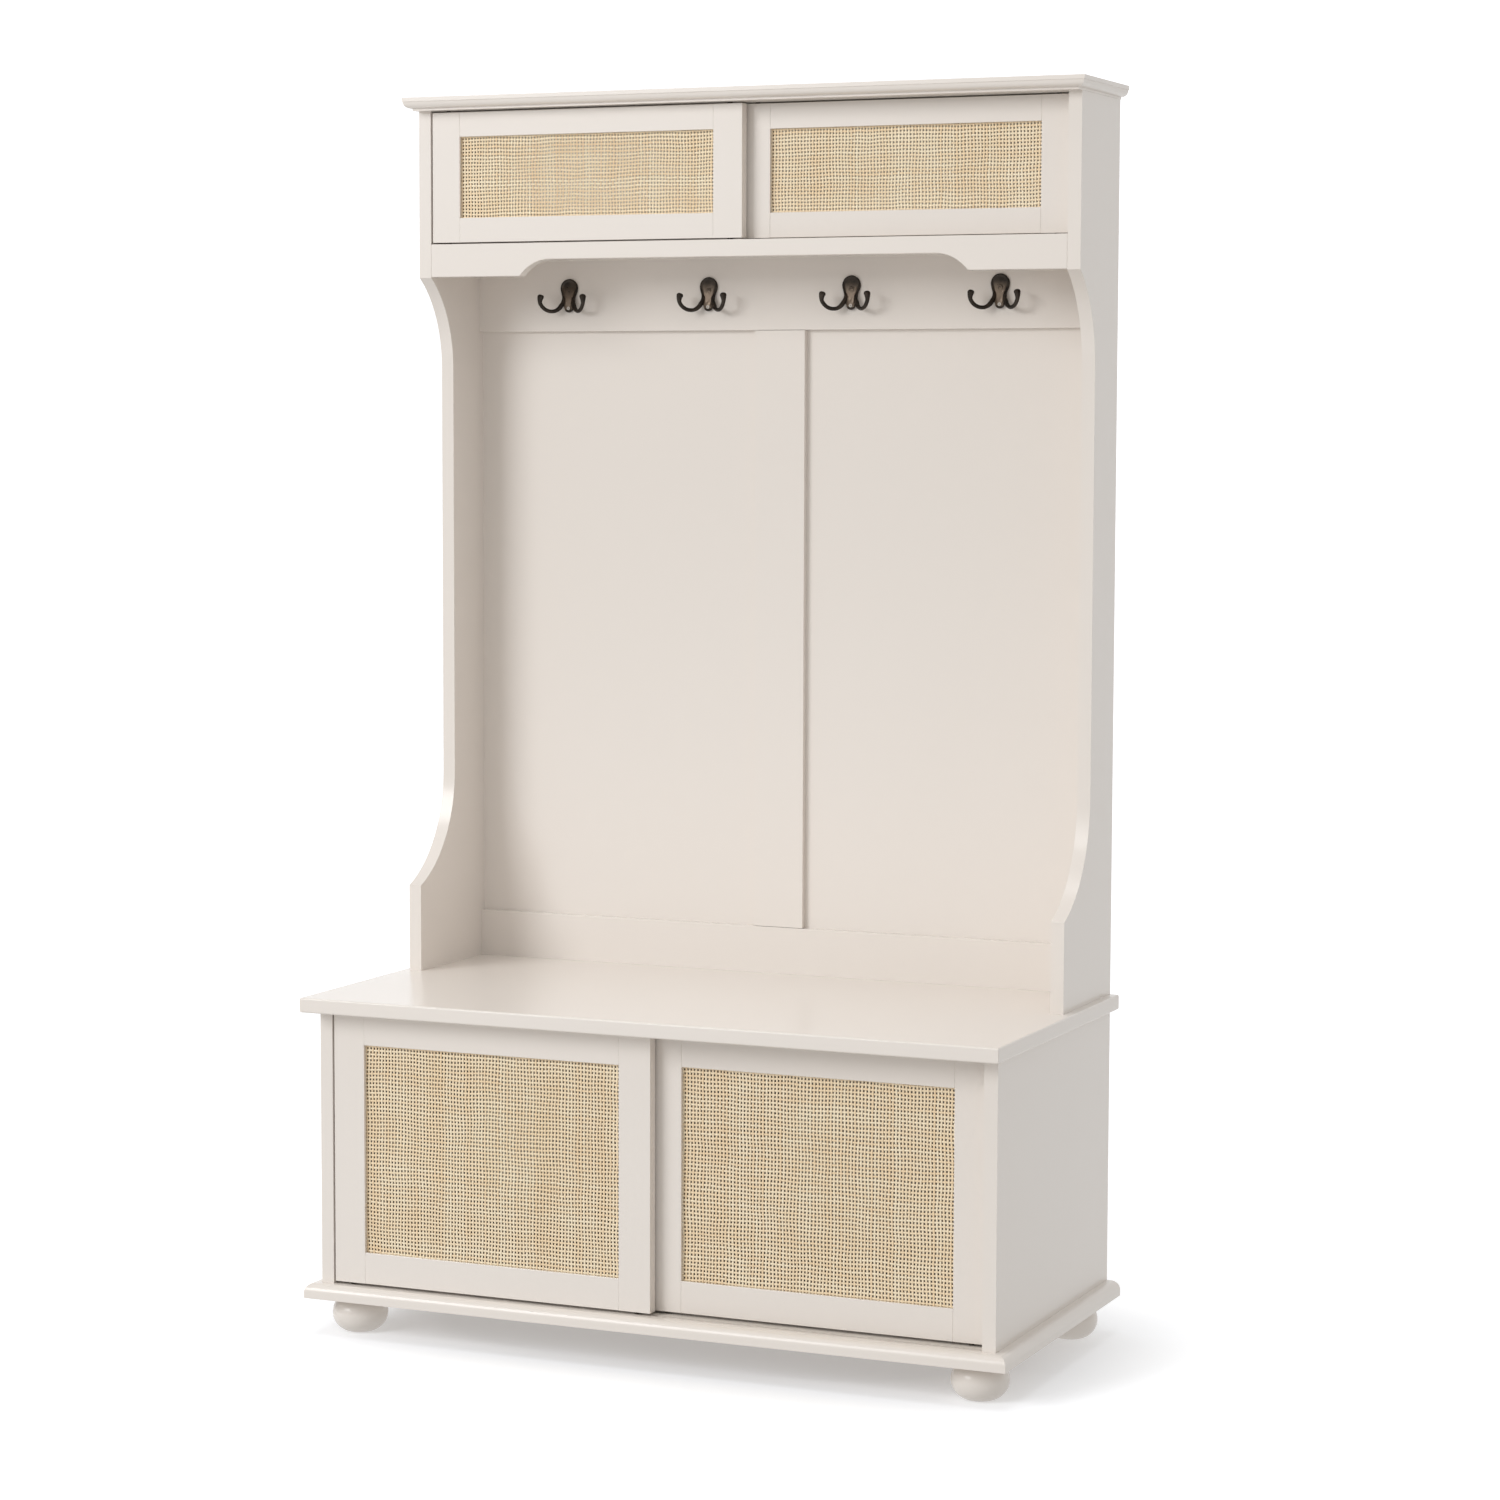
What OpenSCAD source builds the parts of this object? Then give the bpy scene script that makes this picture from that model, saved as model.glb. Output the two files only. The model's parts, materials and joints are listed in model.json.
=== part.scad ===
// Hall tree with hooks: a bench base with two sliding doors on bun feet, a back
// with four double hooks between scrolled side boards, and a shallow top cabinet
// with two more sliding doors. The doors are frames filled with cane webbing.
// Millimetres. +Z is up, -Y is the front, X = 0 is the centre line, Z = 0 the floor.

/* [Carcass] */
// Width over the outer faces of the side boards
carcass_width = 960; // [800:1:1200]
// Depth of the seat board, the deepest piece
overall_depth = 480; // [400:1:560]
// Height from the floor to the top of the cornice board
overall_height = 1666; // [1500:1:1900]
// Thickness of the side boards, shelf and apron
board = 18; // [12:0.5:25]
// Thickness of the seat and the base board
thick_board = 20; // [18:0.5:30]
// Thickness of the top board
top_thick = 17.5; // [15:0.5:30]
// Height of the top of the seat
seat_height = 460; // [400:1:520]
// Thickness of the back panels
back_board = 4; // [3:0.5:9]
// How far the rails and the centre batten stand in front of the back panels
rail_board = 9; // [8:0.5:20]

/* [Overhangs] */
// Seat board past each side board
seat_side = 12.5; // [0:0.5:30]
// Radius of the eased seat edges
seat_ease = 2.5; // [0.5:0.5:6]
// Base board past each side board
base_side = 19; // [6:0.5:30]
// Base board past the front edge of the lower sides
base_front = 17; // [6:0.5:30]
// Radius of the rounded top edge of the base board
base_round = 12; // [4:0.5:16]
// Top board past each side board
top_side = 12; // [12:0.5:30]
// Top board past the front edge of the upper sides
top_front = 28; // [12:0.5:50]
// Radius of the ovolo under the edge of the top board
top_round = 9; // [4:0.5:11]
// Height of the square fillet under the ovolo
top_fillet = 3; // [1:0.5:6]

/* [Side boards] */
// Depth of the lower side boards
lower_depth = 446; // [350:1:500]
// Depth of the upper side boards beside the top cabinet
upper_depth = 158; // [120:1:240]
// Depth of the narrow part of the upper side boards
narrow_depth = 94; // [60:1:140]
// Depth of the foot block of the upper side boards
block_depth = 196; // [150:1:300]
// Height of the foot block above the seat
block_height = 120; // [60:1:200]
// Radius of the lower scroll
lower_scroll = 165; // [110:1:220]
// Radius of the upper scroll
upper_scroll = 148; // [70:1:200]
// Height of the sharp corner where the upper scroll ends
scroll_top = 1421; // [1300:1:1450]

/* [Top cabinet] */
// Top face of the cabinet floor
shelf_top = 1467; // [1440:1:1500]
// Height of the apron at its ends
apron_height = 45; // [30:1:70]
// How far the middle of the apron is cut up
apron_rise = 22.5; // [0:0.5:26]
// Half length of the flat middle of the apron
apron_flat = 280; // [150:1:400]
// Radius of the curved ends of the apron cut
apron_radius = 57.5; // [30:0.5:90]

/* [Back] */
// Underside of the hook rail
hook_rail_bottom = 1350; // [1200:1:1400]
// Height of the rail that stands on the seat
bottom_rail_height = 65; // [40:1:120]
// Width of the centre batten
batten_width = 74; // [40:1:120]
// Diameter of the back panel screws
back_screw = 3.5; // [3:0.1:5]
// Length of the back panel screws
back_screw_length = 12; // [8:0.5:12.5]

/* [Feet] */
// Height of the bun feet
foot_height = 50; // [30:1:90]
// Largest diameter of the bun feet
foot_diameter = 75; // [50:1:90]
// Diameter of the flats on the bun feet
foot_flat = 36; // [20:1:50]
// Feet from the centre line
foot_x = 445; // [350:1:470]
// Front feet behind the front edge of the lower sides
foot_front = 42; // [38:1:100]
// Back feet in front of the back plane
foot_back = 52; // [38:1:120]
// Diameter of the foot bolts
foot_bolt = 8; // [6:1:12]

/* [Doors] */
// Width of every door
door_width = 465; // [440:1:500]
// Thickness of every door
door_board = 15.5; // [12:0.5:18]
// Gap between a closed door and the side board
door_side_gap = 2; // [1:0.5:5]
// Front doors behind the front edge of the side boards
door_set_back = 1.75; // [0:0.25:5]
// Distance between the two door planes
track_pitch = 20; // [18:0.5:26]
// Gap below a lower door
gap_below = 3.5; // [2:0.5:6]
// Gap below an upper door
upper_gap_below = 2; // [1.5:0.5:5]
// Gap above a door
gap_above = 2; // [1.5:0.5:5]
// Width of the stiles of the upper doors
upper_stile = 42; // [30:0.5:60]
// Height of the rails of the upper doors
upper_rail = 33.5; // [25:0.5:50]
// Width of the stiles of the lower doors
lower_stile = 45; // [30:0.5:60]
// Height of the rails of the lower doors
lower_rail = 42; // [30:0.5:60]
// Thickness of the frame in front of the webbing
door_lip = 5; // [3:0.5:8]
// Width of the rebate that holds the webbing
rebate = 8; // [5:0.5:12]
// Thickness of the webbing
webbing = 1.6; // [1:0.1:2.5]
// Thickness of the bead that holds the webbing
bead_board = 6; // [4:0.5:8]
// Length of the rail tenons
tenon = 20; // [10:1:24]
// Thickness of the rail tenons
tenon_board = 3; // [2:0.5:4]

/* [Tracks] */
// Height of the track strips
track_height = 8; // [6:0.5:10]
// Width of a track groove
groove = 7; // [6:0.5:9]
// Depth of a track groove
groove_depth = 6; // [4:0.5:8]
// Wall at each edge of a track strip
track_wall = 2.5; // [1.5:0.5:4]
// Diameter of the part of a glide that runs in the groove
glide_pin = 5.5; // [4:0.5:6]
// Diameter of the part of a glide inside the door
glide_shank = 6; // [5:0.5:8]
// Diameter of the glide collar
glide_collar = 8; // [7:0.5:14]

/* [Hooks] */
// Distance from the centre line to the inner hooks
hook_inner = 106; // [60:1:160]
// Distance from the centre line to the outer hooks
hook_outer = 320; // [220:1:400]
// Top of the hook plates
hook_top = 1423; // [1380:1:1440]
// Radius of the head of a hook plate
hook_head = 13; // [10:0.5:18]
// Half width of a hook plate at its waist
hook_waist = 8.5; // [6:0.5:12]
// Height of the waist below the top of the plate
waist_drop = 29; // [22:1:34]
// Radius of the tab at the foot of a hook plate
hook_tab = 5; // [4:0.5:8]
// Upper screw below the top of the plate
hook_upper_screw = 18.5; // [12:0.5:22]
// Distance between the two screws of a hook
hook_pitch = 21.5; // [18:0.5:30]
// Thickness of a hook plate
hook_plate = 3.5; // [3:0.5:6]
// Radius of a prong
prong = 2.9; // [2:0.1:4]
// Radius of the ball at the end of a prong
ball = 3.7; // [3:0.1:6]
// Radius of the bend of a prong
prong_bend = 17.6; // [12:0.1:20]
// Lowest point of a prong below the top of the plate
prong_drop = 47.1; // [42:0.1:60]
// How far past upright a prong curls back
prong_curl = 6; // [0:1:30]
// Angle between a prong and straight forwards, seen from above
prong_angle = 50; // [35:1:65]
// Distance from the middle of a hook to the start of its prongs
prong_side = 6.3; // [5:0.1:9]
// Distance from the rail face to the start of the prongs
prong_forward = 4.2; // [4:0.1:6]
// Diameter of the hook screws
hook_screw = 3; // [2.5:0.5:5]

/* [Part] */
// Sub-part to draw

/* [Hidden] */
$fn = 72;
eps = 1;
half = carcass_width / 2;
inner = half - board;
base_top = foot_height + thick_board;
seat_under = seat_height - thick_board;
top_under = overall_height - top_thick;
rail_face = back_board + rail_board;
apron_back = upper_depth - board;
back_rebate = 8;
back_half = inner + back_rebate;
block_top = seat_height + block_height;
narrow_from = block_top + sqrt(pow(lower_scroll, 2) - pow(narrow_depth + lower_scroll - block_depth, 2));
narrow_to = scroll_top - sqrt(pow(upper_scroll, 2) - pow(narrow_depth + upper_scroll - upper_depth, 2));
shelf_under = shelf_top - board;
track_width = track_pitch + groove + 2 * track_wall;
clear = 0.1;

// A door is [left edge, depth of the front face, bottom, top, stile, rail, gap below].
door_left_x = -inner + door_side_gap;
door_right_x = inner - door_side_gap - door_width;
UPPER_LEFT = [door_left_x, upper_depth - door_set_back, shelf_top + upper_gap_below, top_under - gap_above, upper_stile, upper_rail, upper_gap_below];
UPPER_RIGHT = [door_right_x, upper_depth - door_set_back - track_pitch, shelf_top + upper_gap_below, top_under - gap_above, upper_stile, upper_rail, upper_gap_below];
LOWER_LEFT = [door_left_x, lower_depth - door_set_back, base_top + gap_below, seat_under - gap_above, lower_stile, lower_rail, gap_below];
LOWER_RIGHT = [door_right_x, lower_depth - door_set_back - track_pitch, base_top + gap_below, seat_under - gap_above, lower_stile, lower_rail, gap_below];
upper_track = upper_depth - door_set_back - door_board / 2 + groove / 2 + track_wall;
lower_track = lower_depth - door_set_back - door_board / 2 + groove / 2 + track_wall;

// Screw positions on the back, as [x, z].
side_screws = [for (z = [seat_height + 60, 800, 1070, 1340, top_under - 40]) [inner + back_rebate / 2, z]];
batten_screws = [for (x = [-18, 18], z = [620, 920, 1220]) [x, z]];
hook_rail_screws = [for (x = [-400, -210, 210, 400]) [x, hook_rail_bottom + 25]];
bottom_rail_screws = [for (x = [-400, -160, 160, 400]) [x, seat_height + 32]];
shelf_screws = [for (x = [-360, -120, 120, 360]) [x, shelf_top - board / 2]];
lower_side_screws = [for (z = [base_top + 40, 255, seat_under - 40]) [inner + back_rebate / 2, z]];
divider_screws = [for (z = [base_top + 80, seat_under - 80]) [0, z]];

// Height of the middle of a prong's bend, below the top of the plate.
bend_drop = prong_drop - prong - prong_bend;
hook_screw_drops = [hook_upper_screw, hook_upper_screw + hook_pitch];

white = [0.90, 0.87, 0.84];
cane = [0.92, 0.82, 0.66];
bronze = [0.23, 0.19, 0.16];
steel = [0.62, 0.62, 0.60];
nylon = [0.85, 0.84, 0.80];
raw = [0.70, 0.58, 0.44];

// Y of a depth measured forwards from the back plane.
function y_at(depth) = overall_depth / 2 - depth;

// A box between two X, two depths and two heights.
module slab(x0, x1, d0, d1, z0, z1) {
  translate([x0, y_at(d1), z0]) cube([x1 - x0, d1 - d0, z1 - z0]);
}

// Turns a drawing in (Y, Z) into a board that runs along X, and one in (X, Z) into a board along Y.
module along_x(x0, x1) { translate([x0, 0, 0]) rotate([90, 0, 90]) linear_extrude(x1 - x0) children(); }
module along_y(d0, d1) { translate([0, y_at(d0), 0]) rotate([90, 0, 0]) linear_extrude(d1 - d0) children(); }

// A hole or pin along Y between two depths.
module rod_y(x, z, diameter, d0, d1) {
  translate([x, y_at(d0), z]) rotate([90, 0, 0]) cylinder(d = diameter, h = d1 - d0);
}

// ---- side boards ----
module back_holes(points, side = 1) {
  for (p = points) {
    rod_y(side * p[0], p[1], back_screw - 0.5 + 2 * clear, -eps, back_screw_length + 0.3);
    rod_y(side * p[0], p[1], back_screw + 2 * clear, -eps, back_board);
    translate([side * p[0], y_at(-0.01), p[1]]) rotate([90, 0, 0]) cylinder(d1 = 2 * back_screw + 0.4, d2 = back_screw, h = 2);
  }
}

module upper_side_outline() {
  difference() {
    translate([y_at(block_depth), seat_height]) square([block_depth, top_under - seat_height]);
    translate([y_at(block_depth + eps), narrow_from]) square([block_depth + eps - narrow_depth, narrow_to - narrow_from]);
    translate([y_at(narrow_depth + lower_scroll), narrow_from]) circle(lower_scroll);
    translate([y_at(narrow_depth + upper_scroll), narrow_to]) circle(upper_scroll);
    translate([y_at(block_depth + eps), scroll_top]) square([block_depth + eps - upper_depth, top_under]);
  }
}

module upper_side(side) {
  difference() {
    along_x(side > 0 ? inner : -half, side > 0 ? half : -inner) upper_side_outline();
    slab(side > 0 ? inner - eps : -back_half, side > 0 ? back_half : -inner + eps, -eps, back_board, seat_height - eps, top_under + eps);
    back_holes(side_screws, side);
  }
}

module lower_side(side) {
  difference() {
    slab(side > 0 ? inner : -half, side > 0 ? half : -inner, 0, lower_depth, base_top, seat_under);
    slab(side > 0 ? inner - eps : -back_half, side > 0 ? back_half : -inner + eps, -eps, back_board, base_top - eps, seat_under + eps);
    back_holes(lower_side_screws, side);
  }
}

module left_upper_side() { color(white) upper_side(-1); }
module right_upper_side() { color(white) upper_side(1); }
module left_lower_side() { color(white) lower_side(-1); }
module right_lower_side() { color(white) lower_side(1); }

// ---- moulded boards: each is the overlap of its front outline and its side outline ----
module top_outline(reach, under, over) {
  // Half outline from x = 0 to the edge: fillet, ovolo, then a square lip.
  translate([0, under]) square([reach - top_round - 2, over - under]);
  intersection() {
    translate([reach - top_round - 1, under + top_fillet + top_round]) circle(top_round);
    translate([0, under + top_fillet]) square([reach, top_round]);
  }
  translate([0, under + top_fillet + top_round]) square([reach, over - under - top_fillet - top_round]);
}

module top_board() {
  color(white) difference() {
    intersection() {
      along_y(0, upper_depth + top_front) {
        top_outline(half + top_side, top_under, overall_height);
        mirror([1, 0]) top_outline(half + top_side, top_under, overall_height);
      }
      along_x(-half - top_side, half + top_side)
        translate([y_at(0), 0]) mirror([1, 0]) top_outline(upper_depth + top_front, top_under, overall_height);
    }
    slab(-inner, inner, upper_track - track_width, upper_track, top_under - eps, top_under + track_height);
  }
}

module base_outline(reach) {
  translate([0, foot_height]) square([reach, thick_board - base_round]);
  translate([0, foot_height]) square([reach - base_round, thick_board]);
  translate([reach - base_round, base_top - base_round]) circle(base_round);
}

module base_board() {
  color(white) difference() {
    intersection() {
      along_y(0, lower_depth + base_front) intersection() {
        union() {
          base_outline(half + base_side);
          mirror([1, 0]) base_outline(half + base_side);
        }
        translate([-half - base_side, foot_height]) square([2 * (half + base_side), thick_board]);
      }
      along_x(-half - base_side, half + base_side) intersection() {
        translate([y_at(0), 0]) mirror([1, 0]) base_outline(lower_depth + base_front);
        translate([y_at(lower_depth + base_front), foot_height]) square([lower_depth + base_front, thick_board]);
      }
    }
    slab(-inner, inner, lower_track - track_width, lower_track, base_top - track_height, base_top + eps);
    at_feet() translate([0, 0, foot_height - eps]) cylinder(d = foot_bolt + 2 * clear, h = thick_board - 3);
  }
}

module seat_outline(reach) {
  translate([0, seat_under + seat_ease]) square([reach, thick_board - 2 * seat_ease]);
  translate([0, seat_under]) square([reach - seat_ease, thick_board]);
  for (z = [seat_under + seat_ease, seat_height - seat_ease]) translate([reach - seat_ease, z]) circle(seat_ease);
}

module seat_board() {
  color(white) difference() {
    intersection() {
      along_y(0, overall_depth) {
        seat_outline(half + seat_side);
        mirror([1, 0]) seat_outline(half + seat_side);
      }
      along_x(-half - seat_side, half + seat_side) translate([y_at(0), 0]) mirror([1, 0]) seat_outline(overall_depth);
    }
    slab(-inner, inner, lower_track - track_width, lower_track, seat_under - eps, seat_under + track_height);
  }
}

// ---- top cabinet floor and apron ----
module apron() {
  color(white) difference() {
    along_y(apron_back, upper_depth) difference() {
      translate([-inner, shelf_top - apron_height]) square([2 * inner, apron_height]);
      translate([-apron_flat, 0]) square([2 * apron_flat, shelf_top - apron_height + apron_rise]);
      for (s = [-1, 1]) translate([s * apron_flat, shelf_top - apron_height + apron_rise - apron_radius]) circle(apron_radius);
    }
    slab(-inner - eps, inner + eps, upper_track - track_width, upper_track, shelf_top - track_height, shelf_top + eps);
  }
}

module upper_shelf() {
  color(white) difference() {
    slab(-inner, inner, back_board, apron_back, shelf_under, shelf_top);
    slab(-inner - eps, inner + eps, upper_track - track_width, upper_track, shelf_top - track_height, shelf_top + eps);
    back_holes(shelf_screws);
  }
}

// ---- back ----
module hook_positions() {
  for (x = [-hook_outer, -hook_inner, hook_inner, hook_outer]) translate([x, y_at(rail_face), hook_top]) children();
}

module hook_rail() {
  color(white) difference() {
    slab(-inner, inner, back_board, rail_face, hook_rail_bottom, shelf_under);
    back_holes(hook_rail_screws);
    hook_positions() for (drop = hook_screw_drops)
      translate([0, -eps, -drop]) rotate([-90, 0, 0]) cylinder(d = hook_screw + 2 * clear, h = rail_board + 2 * eps);
  }
}

module centre_batten() {
  color(white) difference() {
    slab(-batten_width / 2, batten_width / 2, back_board, rail_face, seat_height + bottom_rail_height, hook_rail_bottom);
    back_holes(batten_screws);
  }
}

module bottom_rail() {
  color(white) difference() {
    slab(-inner, inner, back_board, rail_face, seat_height, seat_height + bottom_rail_height);
    back_holes(bottom_rail_screws);
  }
}

module back_panel(side) {
  difference() {
    slab(side > 0 ? 0 : -back_half, side > 0 ? back_half : 0, 0, back_board, seat_height, top_under);
    back_holes(side_screws, side);
    back_holes([for (p = concat(batten_screws, hook_rail_screws, bottom_rail_screws, shelf_screws)) if (p[0] * side > 0) p]);
  }
}

module back_panel_left() { color(white) back_panel(-1); }
module back_panel_right() { color(white) back_panel(1); }

module lower_back_panel() {
  color(white) difference() {
    slab(-back_half, back_half, 0, back_board, base_top, seat_under);
    for (s = [-1, 1]) back_holes(lower_side_screws, s);
    back_holes(divider_screws);
  }
}

module lower_divider() {
  color(white) difference() {
    slab(-board / 2, board / 2, back_board, lower_track - track_width - 6, base_top, seat_under);
    back_holes(divider_screws);
  }
}

module one_back_screw(x, z) {
  rod_y(x, z, back_screw - 0.5, 0, back_screw_length);
  rod_y(x, z, back_screw, 0, back_board - clear);
  translate([x, y_at(0), z]) rotate([90, 0, 0]) cylinder(d1 = 2 * back_screw, d2 = back_screw, h = 1.8);
}

module back_screws() {
  color(steel) {
    for (s = [-1, 1], p = concat(side_screws, lower_side_screws)) one_back_screw(s * p[0], p[1]);
    for (p = concat(batten_screws, hook_rail_screws, bottom_rail_screws, shelf_screws, divider_screws)) one_back_screw(p[0], p[1]);
  }
}

// ---- feet ----
module at_feet() {
  for (x = [-foot_x, foot_x], d = [lower_depth - foot_front, foot_back]) translate([x, y_at(d), 0]) children();
}

module bun_foot(x, d) {
  // The side is one arc from the lower flat over the widest point to the upper flat.
  a = foot_flat / 2;
  b = foot_diameter / 2;
  h = foot_height / 2;
  c = (b * b - a * a - h * h) / (2 * (b - a));
  translate([x, y_at(d), 0]) difference() {
    rotate_extrude() {
      square([c, foot_height]);
      intersection() {
        translate([c, h]) circle(b - c);
        translate([c, 0]) square([b, foot_height]);
      }
    }
    translate([0, 0, 18]) cylinder(d = foot_bolt + 2 * clear, h = foot_height);
  }
}

module foot_front_left() { color(white) bun_foot(-foot_x, lower_depth - foot_front); }
module foot_front_right() { color(white) bun_foot(foot_x, lower_depth - foot_front); }
module foot_back_left() { color(white) bun_foot(-foot_x, foot_back); }
module foot_back_right() { color(white) bun_foot(foot_x, foot_back); }
module foot_bolts() { color(steel) at_feet() translate([0, 0, 18]) cylinder(d = foot_bolt, h = base_top - 4 - 18); }

// ---- tracks ----
module track(front, z, up) {
  // A strip with two grooves; up = 1 opens upwards, -1 downwards.
  difference() {
    slab(-inner, inner, front - track_width, front, up > 0 ? z - track_height : z, up > 0 ? z : z + track_height);
    for (k = [0, 1]) slab(-inner - eps, inner + eps,
      front - track_wall - groove - k * track_pitch, front - track_wall - k * track_pitch,
      up > 0 ? z - groove_depth : z - eps, up > 0 ? z + eps : z + groove_depth);
  }
}

module upper_top_track() { color(nylon) track(upper_track, top_under, -1); }
module upper_bottom_track() { color(nylon) track(upper_track, shelf_top, 1); }
module lower_top_track() { color(nylon) track(lower_track, seat_under, -1); }
module lower_bottom_track() { color(nylon) track(lower_track, base_top, 1); }

// ---- doors ----
module door_glide_points(d) {
  for (x = [d[0] + d[4] / 2, d[0] + door_width - d[4] / 2]) translate([x, y_at(d[1] - door_board / 2), 0]) children();
}

module door_stile(d, side) {
  x0 = side > 0 ? d[0] + door_width - d[4] : d[0];
  edge = side > 0 ? x0 : x0 + d[4];
  difference() {
    slab(x0, x0 + d[4], d[1] - door_board, d[1], d[2], d[3]);
    slab(side > 0 ? edge - eps : edge - rebate, side > 0 ? edge + rebate : edge + eps,
      d[1] - door_board - eps, d[1] - door_lip, d[2] + d[5] - rebate, d[3] - d[5] + rebate);
    for (z = [d[2] + 6, d[3] - d[5] + rebate + 1])
      slab(side > 0 ? edge - eps : edge - tenon - clear, side > 0 ? edge + tenon + clear : edge + eps,
        d[1] - door_lip - 1 - tenon_board - clear, d[1] - door_lip - 1 + clear, z - clear, z + d[5] - rebate - 7 + clear);
    door_glide_points(d) {
      translate([0, 0, d[2] - eps]) cylinder(d = glide_shank + 2 * clear, h = 5 + eps);
      translate([0, 0, d[3] - 5]) cylinder(d = glide_shank + 2 * clear, h = 5 + eps);
    }
  }
}

module door_rail(d, top) {
  z0 = top ? d[3] - d[5] : d[2];
  x0 = d[0] + d[4];
  x1 = d[0] + door_width - d[4];
  tz = top ? d[3] - d[5] + rebate + 1 : d[2] + 6;
  difference() {
    union() {
      slab(x0, x1, d[1] - door_board, d[1], z0, z0 + d[5]);
      slab(x0 - tenon, x1 + tenon, d[1] - door_lip - 1 - tenon_board, d[1] - door_lip - 1, tz, tz + d[5] - rebate - 7);
    }
    slab(x0 - eps / 2, x1 + eps / 2, d[1] - door_board - eps, d[1] - door_lip, top ? z0 - eps : z0 + d[5] - rebate, top ? z0 + rebate : z0 + d[5] + eps);
  }
}

module door_webbing(d) {
  g = rebate - 0.5;
  slab(d[0] + d[4] - g, d[0] + door_width - d[4] + g, d[1] - door_lip - webbing, d[1] - door_lip, d[2] + d[5] - g, d[3] - d[5] + g);
}

module door_bead(d) {
  g = rebate - 0.5;
  back = d[1] - door_lip - webbing;
  difference() {
    slab(d[0] + d[4] - g, d[0] + door_width - d[4] + g, back - bead_board, back, d[2] + d[5] - g, d[3] - d[5] + g);
    slab(d[0] + d[4], d[0] + door_width - d[4], back - bead_board - eps, back + eps, d[2] + d[5], d[3] - d[5]);
  }
}

module door_glides(d) {
  door_glide_points(d) {
    translate([0, 0, d[2]]) cylinder(d = glide_shank, h = 4.5);
    translate([0, 0, d[2] - d[6] + 1]) cylinder(d = glide_collar, h = d[6] - 1);
    translate([0, 0, d[2] - d[6] - groove_depth + 0.5]) cylinder(d = glide_pin, h = groove_depth + 0.5);
    translate([0, 0, d[3] - 4.5]) cylinder(d = glide_shank, h = 4.5);
    translate([0, 0, d[3]]) cylinder(d = glide_collar, h = gap_above - 1);
    translate([0, 0, d[3] + gap_above - 1]) cylinder(d = glide_pin, h = groove_depth + 0.5);
  }
}

module upper_left_stile_a() { color(white) door_stile(UPPER_LEFT, -1); }
module upper_left_stile_b() { color(white) door_stile(UPPER_LEFT, 1); }
module upper_left_top_rail() { color(white) door_rail(UPPER_LEFT, true); }
module upper_left_bottom_rail() { color(white) door_rail(UPPER_LEFT, false); }
module upper_left_webbing() { color(cane) door_webbing(UPPER_LEFT); }
module upper_left_bead() { color(raw) door_bead(UPPER_LEFT); }
module upper_left_glides() { color(nylon) door_glides(UPPER_LEFT); }

module upper_right_stile_a() { color(white) door_stile(UPPER_RIGHT, -1); }
module upper_right_stile_b() { color(white) door_stile(UPPER_RIGHT, 1); }
module upper_right_top_rail() { color(white) door_rail(UPPER_RIGHT, true); }
module upper_right_bottom_rail() { color(white) door_rail(UPPER_RIGHT, false); }
module upper_right_webbing() { color(cane) door_webbing(UPPER_RIGHT); }
module upper_right_bead() { color(raw) door_bead(UPPER_RIGHT); }
module upper_right_glides() { color(nylon) door_glides(UPPER_RIGHT); }

module lower_left_stile_a() { color(white) door_stile(LOWER_LEFT, -1); }
module lower_left_stile_b() { color(white) door_stile(LOWER_LEFT, 1); }
module lower_left_top_rail() { color(white) door_rail(LOWER_LEFT, true); }
module lower_left_bottom_rail() { color(white) door_rail(LOWER_LEFT, false); }
module lower_left_webbing() { color(cane) door_webbing(LOWER_LEFT); }
module lower_left_bead() { color(raw) door_bead(LOWER_LEFT); }
module lower_left_glides() { color(nylon) door_glides(LOWER_LEFT); }

module lower_right_stile_a() { color(white) door_stile(LOWER_RIGHT, -1); }
module lower_right_stile_b() { color(white) door_stile(LOWER_RIGHT, 1); }
module lower_right_top_rail() { color(white) door_rail(LOWER_RIGHT, true); }
module lower_right_bottom_rail() { color(white) door_rail(LOWER_RIGHT, false); }
module lower_right_webbing() { color(cane) door_webbing(LOWER_RIGHT); }
module lower_right_bead() { color(raw) door_bead(LOWER_RIGHT); }
module lower_right_glides() { color(nylon) door_glides(LOWER_RIGHT); }

// ---- hooks; the local origin is the top of the plate on the rail face, -Y is forwards ----
module plate_outline() {
  foot = hook_upper_screw + hook_pitch;
  translate([0, -hook_head]) circle(hook_head);
  translate([0, -foot]) circle(hook_tab);
  polygon([
    [hook_head * 0.93, -hook_head - hook_head * 0.3], [hook_waist, -waist_drop], [hook_tab * 0.97, -foot],
    [-hook_tab * 0.97, -foot], [-hook_waist, -waist_drop], [-hook_head * 0.93, -hook_head - hook_head * 0.3]
  ]);
}

module one_prong(side) {
  // Local X runs outwards and forwards along the prong, Z is up.
  translate([side * prong_side, -prong_forward, -bend_drop])
    rotate([0, 0, side > 0 ? prong_angle - 90 : -90 - prong_angle]) {
      // The flank of the plate thickens into the prong.
      translate([0, 0, -1.5]) cylinder(r1 = prong + 0.3, r2 = prong - 1.4, h = bend_drop - 9);
      translate([prong_bend, 0, 0]) rotate([90, 0, 0]) {
        rotate([0, 0, 180]) rotate_extrude(angle = 180 + prong_curl) translate([prong_bend, 0]) circle(prong);
        rotate([0, 0, prong_curl]) translate([prong_bend - 0.5, 0, 0]) sphere(ball);
      }
    }
}

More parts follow.
